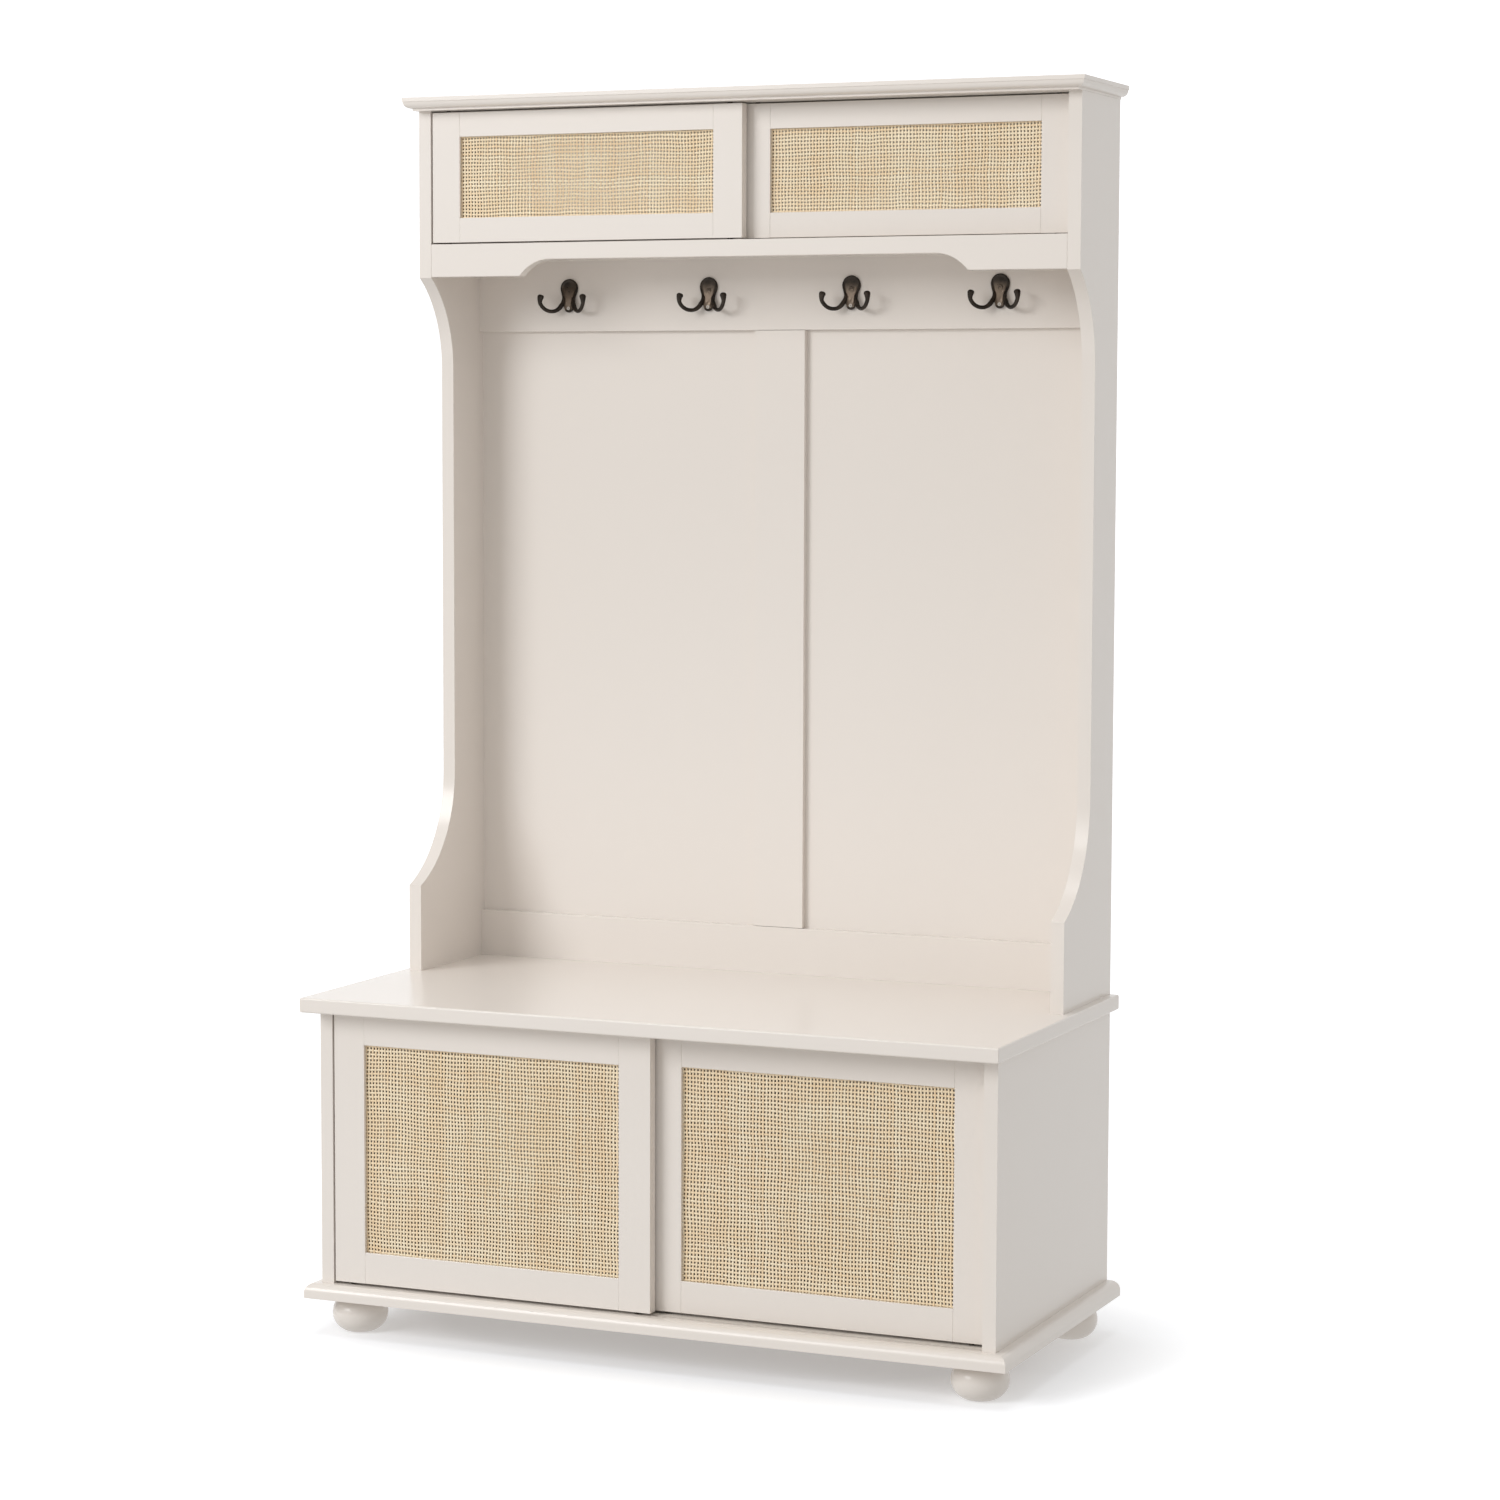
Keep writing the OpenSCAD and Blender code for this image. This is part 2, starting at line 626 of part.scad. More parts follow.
module hook_body() {
  difference() {
    union() {
      rotate([90, 0, 0]) linear_extrude(hook_plate) plate_outline();
      for (s = [-1, 1]) one_prong(s);
    }
    for (drop = hook_screw_drops) {
      translate([0, eps, -drop]) rotate([90, 0, 0]) cylinder(d = hook_screw + 0.4, h = 12);
      translate([0, -hook_plate + 1.5, -drop]) rotate([90, 0, 0]) cylinder(d1 = hook_screw + 0.4, d2 = 2 * hook_screw + 0.4, h = 1.5);
      translate([0, -hook_plate, -drop]) rotate([90, 0, 0]) cylinder(d = 2 * hook_screw + 0.4, h = 8);
    }
  }
}

module hook_at(x) { translate([x, y_at(rail_face), hook_top]) hook_body(); }
module hook_1() { color(bronze) hook_at(-hook_outer); }
module hook_2() { color(bronze) hook_at(-hook_inner); }
module hook_3() { color(bronze) hook_at(hook_inner); }
module hook_4() { color(bronze) hook_at(hook_outer); }

module hook_screws() {
  color(steel) hook_positions() for (drop = hook_screw_drops) translate([0, 0, -drop]) {
    translate([0, rail_board - 0.5, 0]) rotate([90, 0, 0]) cylinder(d = hook_screw, h = rail_board - 0.5 + hook_plate - 1);
    translate([0, -hook_plate + 1.4, 0]) rotate([90, 0, 0]) cylinder(d1 = hook_screw, d2 = 2 * hook_screw, h = 1.4);
  }
}

top_board();
left_upper_side();
right_upper_side();
apron();
upper_shelf();
hook_rail();
centre_batten();
bottom_rail();
back_panel_left();
back_panel_right();
hook_1();
hook_2();
hook_3();
hook_4();
hook_screws();
seat_board();
left_lower_side();
right_lower_side();
base_board();
lower_back_panel();
lower_divider();
foot_front_left();
foot_front_right();
foot_back_left();
foot_back_right();
foot_bolts();
upper_top_track();
upper_bottom_track();
lower_top_track();
lower_bottom_track();
back_screws();
upper_left_stile_a();
upper_left_stile_b();
upper_left_top_rail();
upper_left_bottom_rail();
upper_left_webbing();
upper_left_bead();
upper_left_glides();
upper_right_stile_a();
upper_right_stile_b();
upper_right_top_rail();
upper_right_bottom_rail();
upper_right_webbing();
upper_right_bead();
upper_right_glides();
lower_left_stile_a();
lower_left_stile_b();
lower_left_top_rail();
lower_left_bottom_rail();
lower_left_webbing();
lower_left_bead();
lower_left_glides();
lower_right_stile_a();
lower_right_stile_b();
lower_right_top_rail();
lower_right_bottom_rail();
lower_right_webbing();
lower_right_bead();
lower_right_glides();
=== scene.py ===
# %% [markdown]
# # A hall tree with hooks
# A hall tree is a bench, a coat rack and a small cupboard in one piece of furniture. This
# lesson dresses its measured frame: every board keeps the place and the size that the frame
# gives it, and gets eased edges and satin paint. The doors get woven cane, and the hooks get
# the soft shape of a casting.
#
# The frame is loaded first, and its box is kept and printed at the end.

# %% Load the frame
import json
import math

import bmesh
import bpy
from mathutils import Matrix, Vector

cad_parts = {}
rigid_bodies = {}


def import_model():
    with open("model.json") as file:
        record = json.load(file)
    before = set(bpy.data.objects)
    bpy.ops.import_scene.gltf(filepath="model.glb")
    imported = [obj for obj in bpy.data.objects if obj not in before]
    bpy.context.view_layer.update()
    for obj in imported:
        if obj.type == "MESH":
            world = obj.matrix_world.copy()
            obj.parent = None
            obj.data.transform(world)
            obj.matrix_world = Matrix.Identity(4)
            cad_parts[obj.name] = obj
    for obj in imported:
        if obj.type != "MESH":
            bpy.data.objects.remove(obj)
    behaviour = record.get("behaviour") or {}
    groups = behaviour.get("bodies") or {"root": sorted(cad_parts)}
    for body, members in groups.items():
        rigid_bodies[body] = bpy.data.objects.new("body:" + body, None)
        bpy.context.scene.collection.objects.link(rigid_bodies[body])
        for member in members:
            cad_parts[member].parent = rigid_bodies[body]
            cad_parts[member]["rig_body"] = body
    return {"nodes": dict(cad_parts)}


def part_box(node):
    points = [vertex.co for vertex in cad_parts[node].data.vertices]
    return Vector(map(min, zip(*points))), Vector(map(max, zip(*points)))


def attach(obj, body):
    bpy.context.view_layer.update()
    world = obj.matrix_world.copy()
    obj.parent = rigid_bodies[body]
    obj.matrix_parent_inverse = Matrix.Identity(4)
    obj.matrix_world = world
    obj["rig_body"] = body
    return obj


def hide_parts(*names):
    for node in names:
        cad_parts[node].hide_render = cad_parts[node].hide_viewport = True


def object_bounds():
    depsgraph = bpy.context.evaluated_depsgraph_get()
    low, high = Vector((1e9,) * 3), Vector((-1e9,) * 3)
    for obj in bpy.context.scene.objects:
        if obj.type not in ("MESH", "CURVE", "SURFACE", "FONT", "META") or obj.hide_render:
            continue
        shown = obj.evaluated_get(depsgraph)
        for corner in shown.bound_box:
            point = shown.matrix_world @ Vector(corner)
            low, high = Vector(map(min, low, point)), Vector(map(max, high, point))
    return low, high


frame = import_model()
frame_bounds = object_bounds()
nodes = frame["nodes"]

MM = 0.001
# The rear face of the back panels.
BACK = max(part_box("back_panel_left")[1].y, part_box("back_panel_right")[1].y)
frame_size = Vector(frame_bounds[1]) - Vector(frame_bounds[0])
print("width, depth and height in mm:", [round(side / MM) for side in frame_size])

# %% [markdown]
# ## Camera and light
# The piece is seen from its right, from 1.2 m above the floor, and the camera looks a little
# downwards. A long lens keeps the uprights nearly parallel, as in a catalogue. The camera is
# built from its three directions, because a matrix says exactly where it looks, while a Track To
# constraint could not give the slight roll.

# %% Camera
TURN, TILT, ROLL = math.radians(23.374), math.radians(4.99), math.radians(0.175)
CAMERA_AT = Vector((2.0340, BACK - 4.8179, 1.2276))
LENS_MM, SENSOR_MM = 90.86, 36

look = Vector((-math.sin(TURN) * math.cos(TILT), math.cos(TURN) * math.cos(TILT), -math.sin(TILT)))
level = Vector((math.cos(TURN), math.sin(TURN), 0))
upright = level.cross(look)
right = level * math.cos(ROLL) + upright * math.sin(ROLL)
upright = upright * math.cos(ROLL) - level * math.sin(ROLL)

camera_data = bpy.data.cameras.new("catalogue_camera")
camera_data.sensor_width = SENSOR_MM
camera_data.lens = LENS_MM
camera = bpy.data.objects.new("catalogue_camera", camera_data)
bpy.context.scene.collection.objects.link(camera)
camera.matrix_world = Matrix.Translation(CAMERA_AT) @ Matrix((right, upright, -look)).transposed().to_4x4()
bpy.context.scene.camera = camera
print("camera", [round(c, 3) for c in CAMERA_AT], "lens", LENS_MM)

# %% [markdown]
# One large soft light high on the left gives the pale front, the darker right side and the
# soft shadows of the hooks. A ceiling light lifts the seat, and a weak light on the right and a
# nearly white world fill the shade. The floor runs far back and meets a sheet that curves up
# into a wall, so no horizon shows behind the piece when it is seen from the front.

# %% Light
def soft_light(name, place, target, size, watts, colour):
    """A square area light that faces a point."""
    data = bpy.data.lights.new(name, "AREA")
    data.shape, data.size, data.energy, data.color = "SQUARE", size, watts, colour
    light = bpy.data.objects.new(name, data)
    light.location = place
    light.rotation_euler = (Vector(target) - Vector(place)).to_track_quat("-Z", "Y").to_euler()
    bpy.context.scene.collection.objects.link(light)


# Each light: where it is, the point it faces, its size in metres, its watts and its colour.
soft_light("window_left", (-4.3, -6.6, 4.3), (0, 0, 0.8), 3.8, 330, (0.985, 0.99, 1.0))
soft_light("ceiling", (-0.3, -0.8, 8.0), (0, 0, 0), 4.0, 115, (0.985, 0.99, 1.0))
soft_light("fill_right", (4.2, -3.4, 1.6), (0, 0, 0.8), 4.5, 2, (1.0, 0.98, 0.95))

world = bpy.data.worlds.new("white_room")
bpy.context.scene.world = world
world.use_nodes = True
background = world.node_tree.nodes["Background"]
background.inputs["Color"].default_value = (1.0, 0.985, 0.962, 1)
background.inputs["Strength"].default_value = 0.57
bpy.context.scene.view_settings.view_transform = "Standard"
print("lights:", len(bpy.data.lights), "beside the white world")

# %% Floor
SHEET_FRONT, SHEET_BACK, WALL_TOP, SHEET_HALF = -9.0, 7.0, 7.0, 14.0
CURVE, CURVE_STEPS = 3.0, 24  # the radius of the bend from floor to wall


def sheet(name, profile):
    """A wide sheet that follows a profile of (y, z)."""
    mesh = bpy.data.meshes.new(name)
    corners = [(x, y, z) for y, z in profile for x in (-SHEET_HALF, SHEET_HALF)]
    strips = [(2 * i, 2 * i + 1, 2 * i + 3, 2 * i + 2) for i in range(len(profile) - 1)]
    mesh.from_pydata(corners, [], strips)
    for face in mesh.polygons:
        face.use_smooth = True
    made = bpy.data.objects.new(name, mesh)
    bpy.context.scene.collection.objects.link(made)
    return made


bend = [math.radians(step * 90 / CURVE_STEPS) for step in range(CURVE_STEPS + 1)]
floor = sheet("studio_floor", [(SHEET_FRONT, 0.0), (SHEET_BACK - CURVE, 0.0)])
rise = [(SHEET_BACK - CURVE + CURVE * math.sin(a), CURVE - CURVE * math.cos(a)) for a in bend]
wall = sheet("studio_wall", rise + [(SHEET_BACK, WALL_TOP)])
for part in (floor, wall):
    part.visible_diffuse = False  # it throws no light back on the piece
print("sheet faces:", len(floor.data.polygons) + len(wall.data.polygons))

# %% [markdown]
# ## Finishes
# Every finish is a small node tree that reads Object coordinates, so it stays on the piece
# when a door slides. A helper makes the trees short to read: it adds a node, sets what is
# constant and links what is not.

# %% Helpers for node trees
def put(tree, kind, settings=None, inputs=None):
    """Adds a node; an input is given by name or number, as a value or as a socket to link."""
    node = tree.nodes.new(kind)
    for name, value in (settings or {}).items():
        setattr(node, name, value)
    for key, value in (inputs or {}).items():
        if isinstance(value, bpy.types.NodeSocket):
            tree.links.new(value, node.inputs[key])
        else:
            node.inputs[key].default_value = value
    return node


def sums(tree, operation, *terms):
    """One Math node; returns its result."""
    return put(tree, "ShaderNodeMath", {"operation": operation}, dict(enumerate(terms))).outputs[0]


def vector_of(tree, parts):
    """A vector from its parts by axis number, each a value or a socket."""
    return put(tree, "ShaderNodeCombineXYZ", inputs=parts).outputs[0]

# %% Helpers for finishes
def start_material(name, **constants):
    """A material with a Principled BSDF; constants are set on the shader's own sockets."""
    material = bpy.data.materials.new(name)
    material.use_nodes = True
    tree = material.node_tree
    shader = tree.nodes["Principled BSDF"]
    for key, value in constants.items():
        shader.inputs[key.replace("_", " ")].default_value = value
    return material, tree, shader


def object_space(tree, scale):
    """Object coordinates stretched by a scale for each axis."""
    place = put(tree, "ShaderNodeTexCoord").outputs["Object"]
    return put(tree, "ShaderNodeMapping", inputs={"Vector": place, "Scale": scale}).outputs[0]


def noise(tree, vector, scale, detail=2.0, roughness=0.5):
    """The grey output of a noise texture."""
    values = {"Vector": vector, "Scale": scale, "Detail": detail, "Roughness": roughness}
    return put(tree, "ShaderNodeTexNoise", inputs=values).outputs[0]


def ramp(tree, value, low, high, to_low, to_high):
    """Maps low..high onto to_low..to_high, and stops at both ends."""
    values = {0: value, 1: low, 2: high, 3: to_low, 4: to_high}
    return put(tree, "ShaderNodeMapRange", inputs=values).outputs[0]


def blend_colours(tree, factor, first, second):
    """A colour between two colours; either may be a socket."""
    node = put(tree, "ShaderNodeMix", {"data_type": "RGBA"}, {0: factor})
    for key, value in ((6, first), (7, second)):
        if isinstance(value, bpy.types.NodeSocket):
            tree.links.new(value, node.inputs[key])
        else:
            node.inputs[key].default_value = (*value, 1)
    return node.outputs[2]


def bumps(tree, shader, height, strength, distance):
    """Links a height to the shader's normal."""
    values = {"Height": height, "Strength": strength, "Distance": distance}
    tree.links.new(put(tree, "ShaderNodeBump", inputs=values).outputs[0], shader.inputs["Normal"])

# %% [markdown]
# ### Satin paint
# The boards wear a warm off-white satin paint. Rolled paint is never quite even: it is a touch
# warmer in some places, its gloss drifts, and its skin has a fine texture drawn out along the
# board. So there are two paints, one drawn along the uprights and one along the rails.

# %% Paint
PAINT, PAINT_WARM = (0.826, 0.774, 0.724), (0.808, 0.750, 0.694)
STROKES_ACROSS, STROKES_ALONG = 420.0, 55.0  # waves per metre of the brushed skin


def satin_paint(name, along, gloss=(0.20, 0.27)):
    """Paint with its strokes along one axis of the object, 0 for X or 2 for Z."""
    material, tree, shader = start_material(name, Roughness=0.3, Specular_IOR_Level=0.5)
    drift = noise(tree, object_space(tree, (1, 1, 1)), 1.7, 1.0)
    strokes_scale = [STROKES_ACROSS, STROKES_ACROSS, STROKES_ACROSS]
    strokes_scale[along] = STROKES_ALONG
    strokes = noise(tree, object_space(tree, strokes_scale), 1.0, 3.0, 0.6)
    skin = noise(tree, object_space(tree, (1, 1, 1)), 900.0, 2.0)
    tone = sums(tree, "ADD", sums(tree, "MULTIPLY", drift, 0.93), sums(tree, "MULTIPLY", strokes, 0.07))
    colour = blend_colours(tree, ramp(tree, tone, 0.1, 0.9, 0, 1), PAINT, PAINT_WARM)
    tree.links.new(colour, shader.inputs["Base Color"])
    tree.links.new(ramp(tree, drift, 0.1, 0.9, *gloss), shader.inputs["Roughness"])
    height = sums(tree, "ADD", sums(tree, "MULTIPLY", strokes, 0.6), sums(tree, "MULTIPLY", skin, 0.4))
    bumps(tree, shader, height, 0.045, 0.0003)
    return material


paint_along_x = satin_paint("paint_drawn_along_the_rails", 0)
paint_along_z = satin_paint("paint_drawn_along_the_uprights", 2)
print("paints:", paint_along_x.name, paint_along_z.name)

# %% [markdown]
# ### Cane, bronze, steel, plastic and bare wood
# Cane is the skin of a palm stem: straw coloured, a little glossy, with fibres along the
# strand. Each strand carries its own tone and the distance from its middle line as attributes,
# so the finish can colour it, round it and paint shade along its edges without any picture.
#
# The hooks are dark bronze that hands have rubbed brown in the middle of the plate, and the top
# of the field and the rim are kept dark as painted shade. The hook's mesh carries that rubbed
# brown and painted shade as an attribute, which the finish mixes with a slow noise.

# %% Cane
def cane_finish():
    """Straw-coloured cane, toned by strand, with painted shade along the edges of each strand."""
    material, tree, shader = start_material("natural_cane", Roughness=0.46, Specular_IOR_Level=0.4)
    tone = put(tree, "ShaderNodeAttribute", {"attribute_name": "strand_tone"}).outputs["Fac"]
    across = put(tree, "ShaderNodeAttribute", {"attribute_name": "across"}).outputs["Fac"]
    patches = noise(tree, object_space(tree, (1, 1, 1)), 22.0, 3.0)
    fibres = noise(tree, object_space(tree, (700, 700, 700)), 1.0, 2.0, 0.7)
    mix = sums(tree, "ADD", sums(tree, "MULTIPLY", tone, 0.45), sums(tree, "MULTIPLY", patches, 0.55))
    straw = blend_colours(tree, ramp(tree, mix, 0.25, 0.75, 0, 1), (0.92, 0.72, 0.47), (0.98, 0.86, 0.64))
    # The edges of each strand are painted dark brown: painted shade where the rounded strand turns down
    # into the holes.
    rim = ramp(tree, sums(tree, "ABSOLUTE", across), 0.72, 1.0, 0.0, 0.45)
    colour = blend_colours(tree, rim, straw, (0.52, 0.33, 0.17))
    tree.links.new(colour, shader.inputs["Base Color"])
    crown = sums(tree, "SUBTRACT", 1.0, sums(tree, "MULTIPLY", across, across))
    bumps(tree, shader, sums(tree, "ADD", crown, sums(tree, "MULTIPLY", fibres, 0.15)), 0.8, 0.0004)
    return material


cane = cane_finish()
print("cane:", cane.name)

# %% Metals, plastic and bare wood
def bronze_finish():
    """Dark cast bronze, brown where hands and coats rub it, with painted shade that keeps the top of the
    field and the rim dark.
    """
    material, tree, shader = start_material("aged_bronze", Metallic=0.75, Roughness=0.42)
    grit = noise(tree, object_space(tree, (1, 1, 1)), 420.0, 4.0, 0.6)
    patches = noise(tree, object_space(tree, (1, 1, 1)), 90.0, 3.0)
    # This attribute is the brown of rubbed bronze in the lower field, plus painted shade that keeps the top
    # of the field and the rim dark.
    wear_and_shade = put(tree, "ShaderNodeAttribute", {"attribute_name": "wear_and_shade"}).outputs["Fac"]
    brown = sums(tree, "ADD", sums(tree, "MULTIPLY", wear_and_shade, 0.7), sums(tree, "MULTIPLY", patches, 0.45))
    share = ramp(tree, brown, 0.18, 0.85, 0, 1)
    colour = blend_colours(tree, share, (0.020, 0.015, 0.011), (0.135, 0.102, 0.075))
    tree.links.new(colour, shader.inputs["Base Color"])
    tree.links.new(ramp(tree, grit, 0.3, 0.7, 0.26, 0.44), shader.inputs["Roughness"])
    bumps(tree, shader, grit, 0.35, 0.0003)
    return material


def plated_finish(name, colour, roughness):
    """Plated steel with a faint mottle."""
    material, tree, shader = start_material(name, Metallic=1.0, Roughness=roughness)
    mottle = noise(tree, object_space(tree, (1, 1, 1)), 600.0, 3.0)
    tint = blend_colours(tree, mottle, tuple(0.8 * c for c in colour), colour)
    tree.links.new(tint, shader.inputs["Base Color"])
    bumps(tree, shader, mottle, 0.2, 0.0002)
    return material


def plastic_finish(name, dark, pale):
    """Moulded plastic between two close colours."""
    material, tree, shader = start_material(name, Roughness=0.5)
    haze = noise(tree, object_space(tree, (1, 1, 1)), 40.0, 3.0)
    tree.links.new(blend_colours(tree, haze, dark, pale), shader.inputs["Base Color"])
    bumps(tree, shader, noise(tree, object_space(tree, (1, 1, 1)), 1500.0), 0.15, 0.0002)
    return material


def bare_wood_finish():
    """Unpainted light wood, its grain stretched along X."""
    material, tree, shader = start_material("bare_wood", Roughness=0.62)
    grain = noise(tree, object_space(tree, (6, 220, 220)), 1.0, 5.0, 0.6)
    colour = blend_colours(tree, grain, (0.52, 0.36, 0.20), (0.74, 0.58, 0.38))
    tree.links.new(colour, shader.inputs["Base Color"])
    bumps(tree, shader, grain, 0.3, 0.0003)
    return material


bronze = bronze_finish()
bright_steel = plated_finish("bright_screw_steel", (0.36, 0.335, 0.30), 0.42)
zinc = plated_finish("zinc_plated_steel", (0.60, 0.60, 0.58), 0.38)
dark_plastic = plastic_finish("dark_glide_plastic", (0.060, 0.048, 0.038), (0.085, 0.070, 0.056))
pale_plastic = plastic_finish("pale_track_plastic", (0.66, 0.61, 0.555), (0.72, 0.67, 0.615))
bare_wood = bare_wood_finish()

print("finishes:", len(bpy.data.materials))

# %% [markdown]
# The studio floor glows a little, and less close to the piece. The glow washes out the far
# shadows and leaves the dark one under the base, which shows that the piece stands on the floor.

# %% Studio white
GLOW_FROM_X, GLOW_FROM_Y = 0.42, 0.18  # a little inside the base's half width and half depth
GLOW_RISE, GLOW_NEAR, GLOW_FAR = 0.24, 0.05, 0.44  # metres of rise, strength before and after


def studio_white():
    """White floor paint whose glow grows with the distance from the piece's footprint."""
    material, tree, shader = start_material("studio_white", Roughness=0.9)
    shader.inputs["Base Color"].default_value = (0.91, 0.93, 0.965, 1)
    shader.inputs["Emission Color"].default_value = (1, 1, 1, 1)
    spot = put(tree, "ShaderNodeSeparateXYZ", inputs={0: object_space(tree, (1, 1, 1))}).outputs
    beside = sums(tree, "SUBTRACT", sums(tree, "ABSOLUTE", spot["X"]), GLOW_FROM_X)
    before = sums(tree, "SUBTRACT", sums(tree, "ABSOLUTE", spot["Y"]), GLOW_FROM_Y)
    away = sums(tree, "SMOOTH_MAX", beside, before)
    glow = ramp(tree, away, 0.0, GLOW_RISE, GLOW_NEAR, GLOW_FAR)
    tree.links.new(glow, shader.inputs["Emission Strength"])
    return material


floor_white = studio_white()
for part in (floor, wall):
    part.data.materials.append(floor_white)
print("floor finish:", floor_white.name)

# %% [markdown]
# ## Boards with eased edges
# A saw leaves edges sharper than paint can cover, so a joiner eases each one by about a
# millimetre. The frame's meshes are loose triangles with knife edges. Each board is copied,
# its triangles are merged back into flat faces, and its edges get a small bevel. A Bevel
# modifier on the frame's own node would work on the triangles and leave creases.
#
# A hairline shows where two painted boards meet. So some copies are cut about half a
# millimetre short at their ends, which opens that line and moves nothing.

# %% Helpers for pieces
def add_piece(name, mesh, body, stands_for):
    """Links a finished mesh as a piece that rides on a body and stands for frame nodes."""
    piece = bpy.data.objects.new(name, mesh)
    bpy.context.scene.collection.objects.link(piece)
    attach(piece, body)
    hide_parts(*stands_for)
    return piece


def body_of_node(name):
    """The body that a frame node rides on."""
    return nodes[name]["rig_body"]


def shade(bm, sharp_degrees):
    """Smooth faces whose steep edges stay sharp."""
    for face in bm.faces:
        face.smooth = True
    for edge in bm.edges:
        edge.smooth = len(edge.link_faces) == 2 and edge.calc_face_angle(0) < math.radians(sharp_degrees)


MERGE = 2e-6  # corners of loose triangles this close, in metres, are one corner
FLAT = math.radians(0.6)  # faces that turn less than this are one face
AT_THE_END = 0.01 * MM  # corners this near to a board's end belong to it
CORNER = math.radians(28)  # edges steeper than this are a board's corners


def eased_board(node, ease_mm, material, gap_mm=0.0, gap_axis=0):
    """Replaces a frame node with a copy whose edges are eased; a gap cuts both its ends short."""
    bm = bmesh.new()
    bm.from_mesh(nodes[node].data)
    bmesh.ops.remove_doubles(bm, verts=bm.verts, dist=MERGE)
    bmesh.ops.dissolve_limit(bm, angle_limit=FLAT, verts=bm.verts, edges=bm.edges)
    low, high = (end(v.co[gap_axis] for v in bm.verts) for end in (min, max))
    for vert in bm.verts:
        if vert.co[gap_axis] - low < AT_THE_END:
            vert.co[gap_axis] += gap_mm * MM
        elif high - vert.co[gap_axis] < AT_THE_END:
            vert.co[gap_axis] -= gap_mm * MM
    corners = [e for e in bm.edges if len(e.link_faces) == 2 and e.calc_face_angle(0) > CORNER]
    bmesh.ops.bevel(
        bm, geom=corners, offset=ease_mm * MM, offset_type="OFFSET", segments=2, profile=0.5,
        affect="EDGES", clamp_overlap=True,
    )
    bmesh.ops.triangulate(bm, faces=[f for f in bm.faces if len(f.verts) > 4])
    shade(bm, 12)
    mesh = bpy.data.meshes.new(node + "_eased")
    bm.to_mesh(mesh)
    bm.free()
    mesh.materials.append(material)
    return add_piece(node + "_eased", mesh, body_of_node(node), [node])

# %% Boards of the carcass
UPRIGHT_BOARDS = (
    "left_upper_side", "right_upper_side", "left_lower_side", "right_lower_side",
    "centre_batten", "lower_divider",
)
LEVEL_BOARDS = (
    "seat_board", "base_board", "top_board", "apron", "upper_shelf", "hook_rail", "bottom_rail",
)
for board in UPRIGHT_BOARDS:
    joint = 0.6 if board == "centre_batten" else 0.0  # a hairline where the batten meets the rails
    eased_board(board, 1.0, paint_along_z, gap_mm=joint, gap_axis=2)
for board in LEVEL_BOARDS:
    eased_board(board, 0.9, paint_along_x)
BACK_PANELS = ("back_panel_left", "back_panel_right", "lower_back_panel")
for board in BACK_PANELS:
    eased_board(board, 0.5, paint_along_z, gap_mm=0.4)  # cut a little narrow
print("carcass boards:", len(UPRIGHT_BOARDS) + len(LEVEL_BOARDS) + len(BACK_PANELS))

# %% Door frames
DOORS = ("upper_left", "upper_right", "lower_left", "lower_right")
for door in DOORS:
    for part in ("stile_a", "stile_b"):
        eased_board(f"{door}_{part}", 0.6, paint_along_z)
    for part in ("top_rail", "bottom_rail"):
        eased_board(f"{door}_{part}", 0.7, paint_along_x, gap_mm=0.5)  # a hairline at the stile
    nodes[f"{door}_bead"].data.materials.clear()
    nodes[f"{door}_bead"].data.materials.append(bare_wood)
    nodes[f"{door}_glides"].data.materials.clear()
    nodes[f"{door}_glides"].data.materials.append(dark_plastic)
TRACKS = ("upper_top_track", "upper_bottom_track", "lower_top_track", "lower_bottom_track")
for name in TRACKS + ("foot_bolts",):
    nodes[name].data.materials.clear()
    nodes[name].data.materials.append(pale_plastic if name in TRACKS else zinc)
print("door frames:", len(DOORS))

# %% [markdown]
# ## Woven cane
# The door panels are open cane: upright and level strands that pass over and under each other,
# with a hole at every crossing of the gaps. Several thousand crossings follow one rule, so
# Geometry Nodes make them. Each strand is a long thin box. Its lift is a sine of the distance
# along it, with the sign turned for every second strand, so the two sets always pass on
# opposite sides. A slow noise shifts both sets together, as cane drifts when it is stretched,
# and each strand also wanders a little by itself.
#
# The panel is woven lying down and is stood up at the end of the tree.

# %% Helpers for geometry trees
def new_tree(name, inputs):
    """A Geometry Nodes tree; inputs are (name, socket kind, default)."""
    tree = bpy.data.node_groups.new(name, "GeometryNodeTree")
    tree.is_modifier = True
    tree.interface.new_socket("Geometry", in_out="INPUT", socket_type="NodeSocketGeometry")
    tree.interface.new_socket("Geometry", in_out="OUTPUT", socket_type="NodeSocketGeometry")
    for label, kind, default in inputs:
        socket = tree.interface.new_socket(label, in_out="INPUT", socket_type=kind)
        if default is not None:
            socket.default_value = default
    return tree, put(tree, "NodeGroupInput").outputs, put(tree, "NodeGroupOutput").inputs


def finish_tree(tree, geometry, material, result):
    """Ends a tree as the export needs it: real geometry with its material."""
    real = put(tree, "GeometryNodeRealizeInstances", inputs={"Geometry": geometry}).outputs[0]
    done = put(tree, "GeometryNodeSetMaterial", inputs={"Geometry": real, "Material": material}).outputs[0]
    tree.links.new(done, result[0])

# %% One set of strands
STRANDS_APART = 7.31  # how far apart two strands read the noise of their own wander
WANDER_SCALE = 24  # waves per metre of a strand's own wander
DRIFT_SCALE = 17.0  # waves per metre of the drift that both sets share


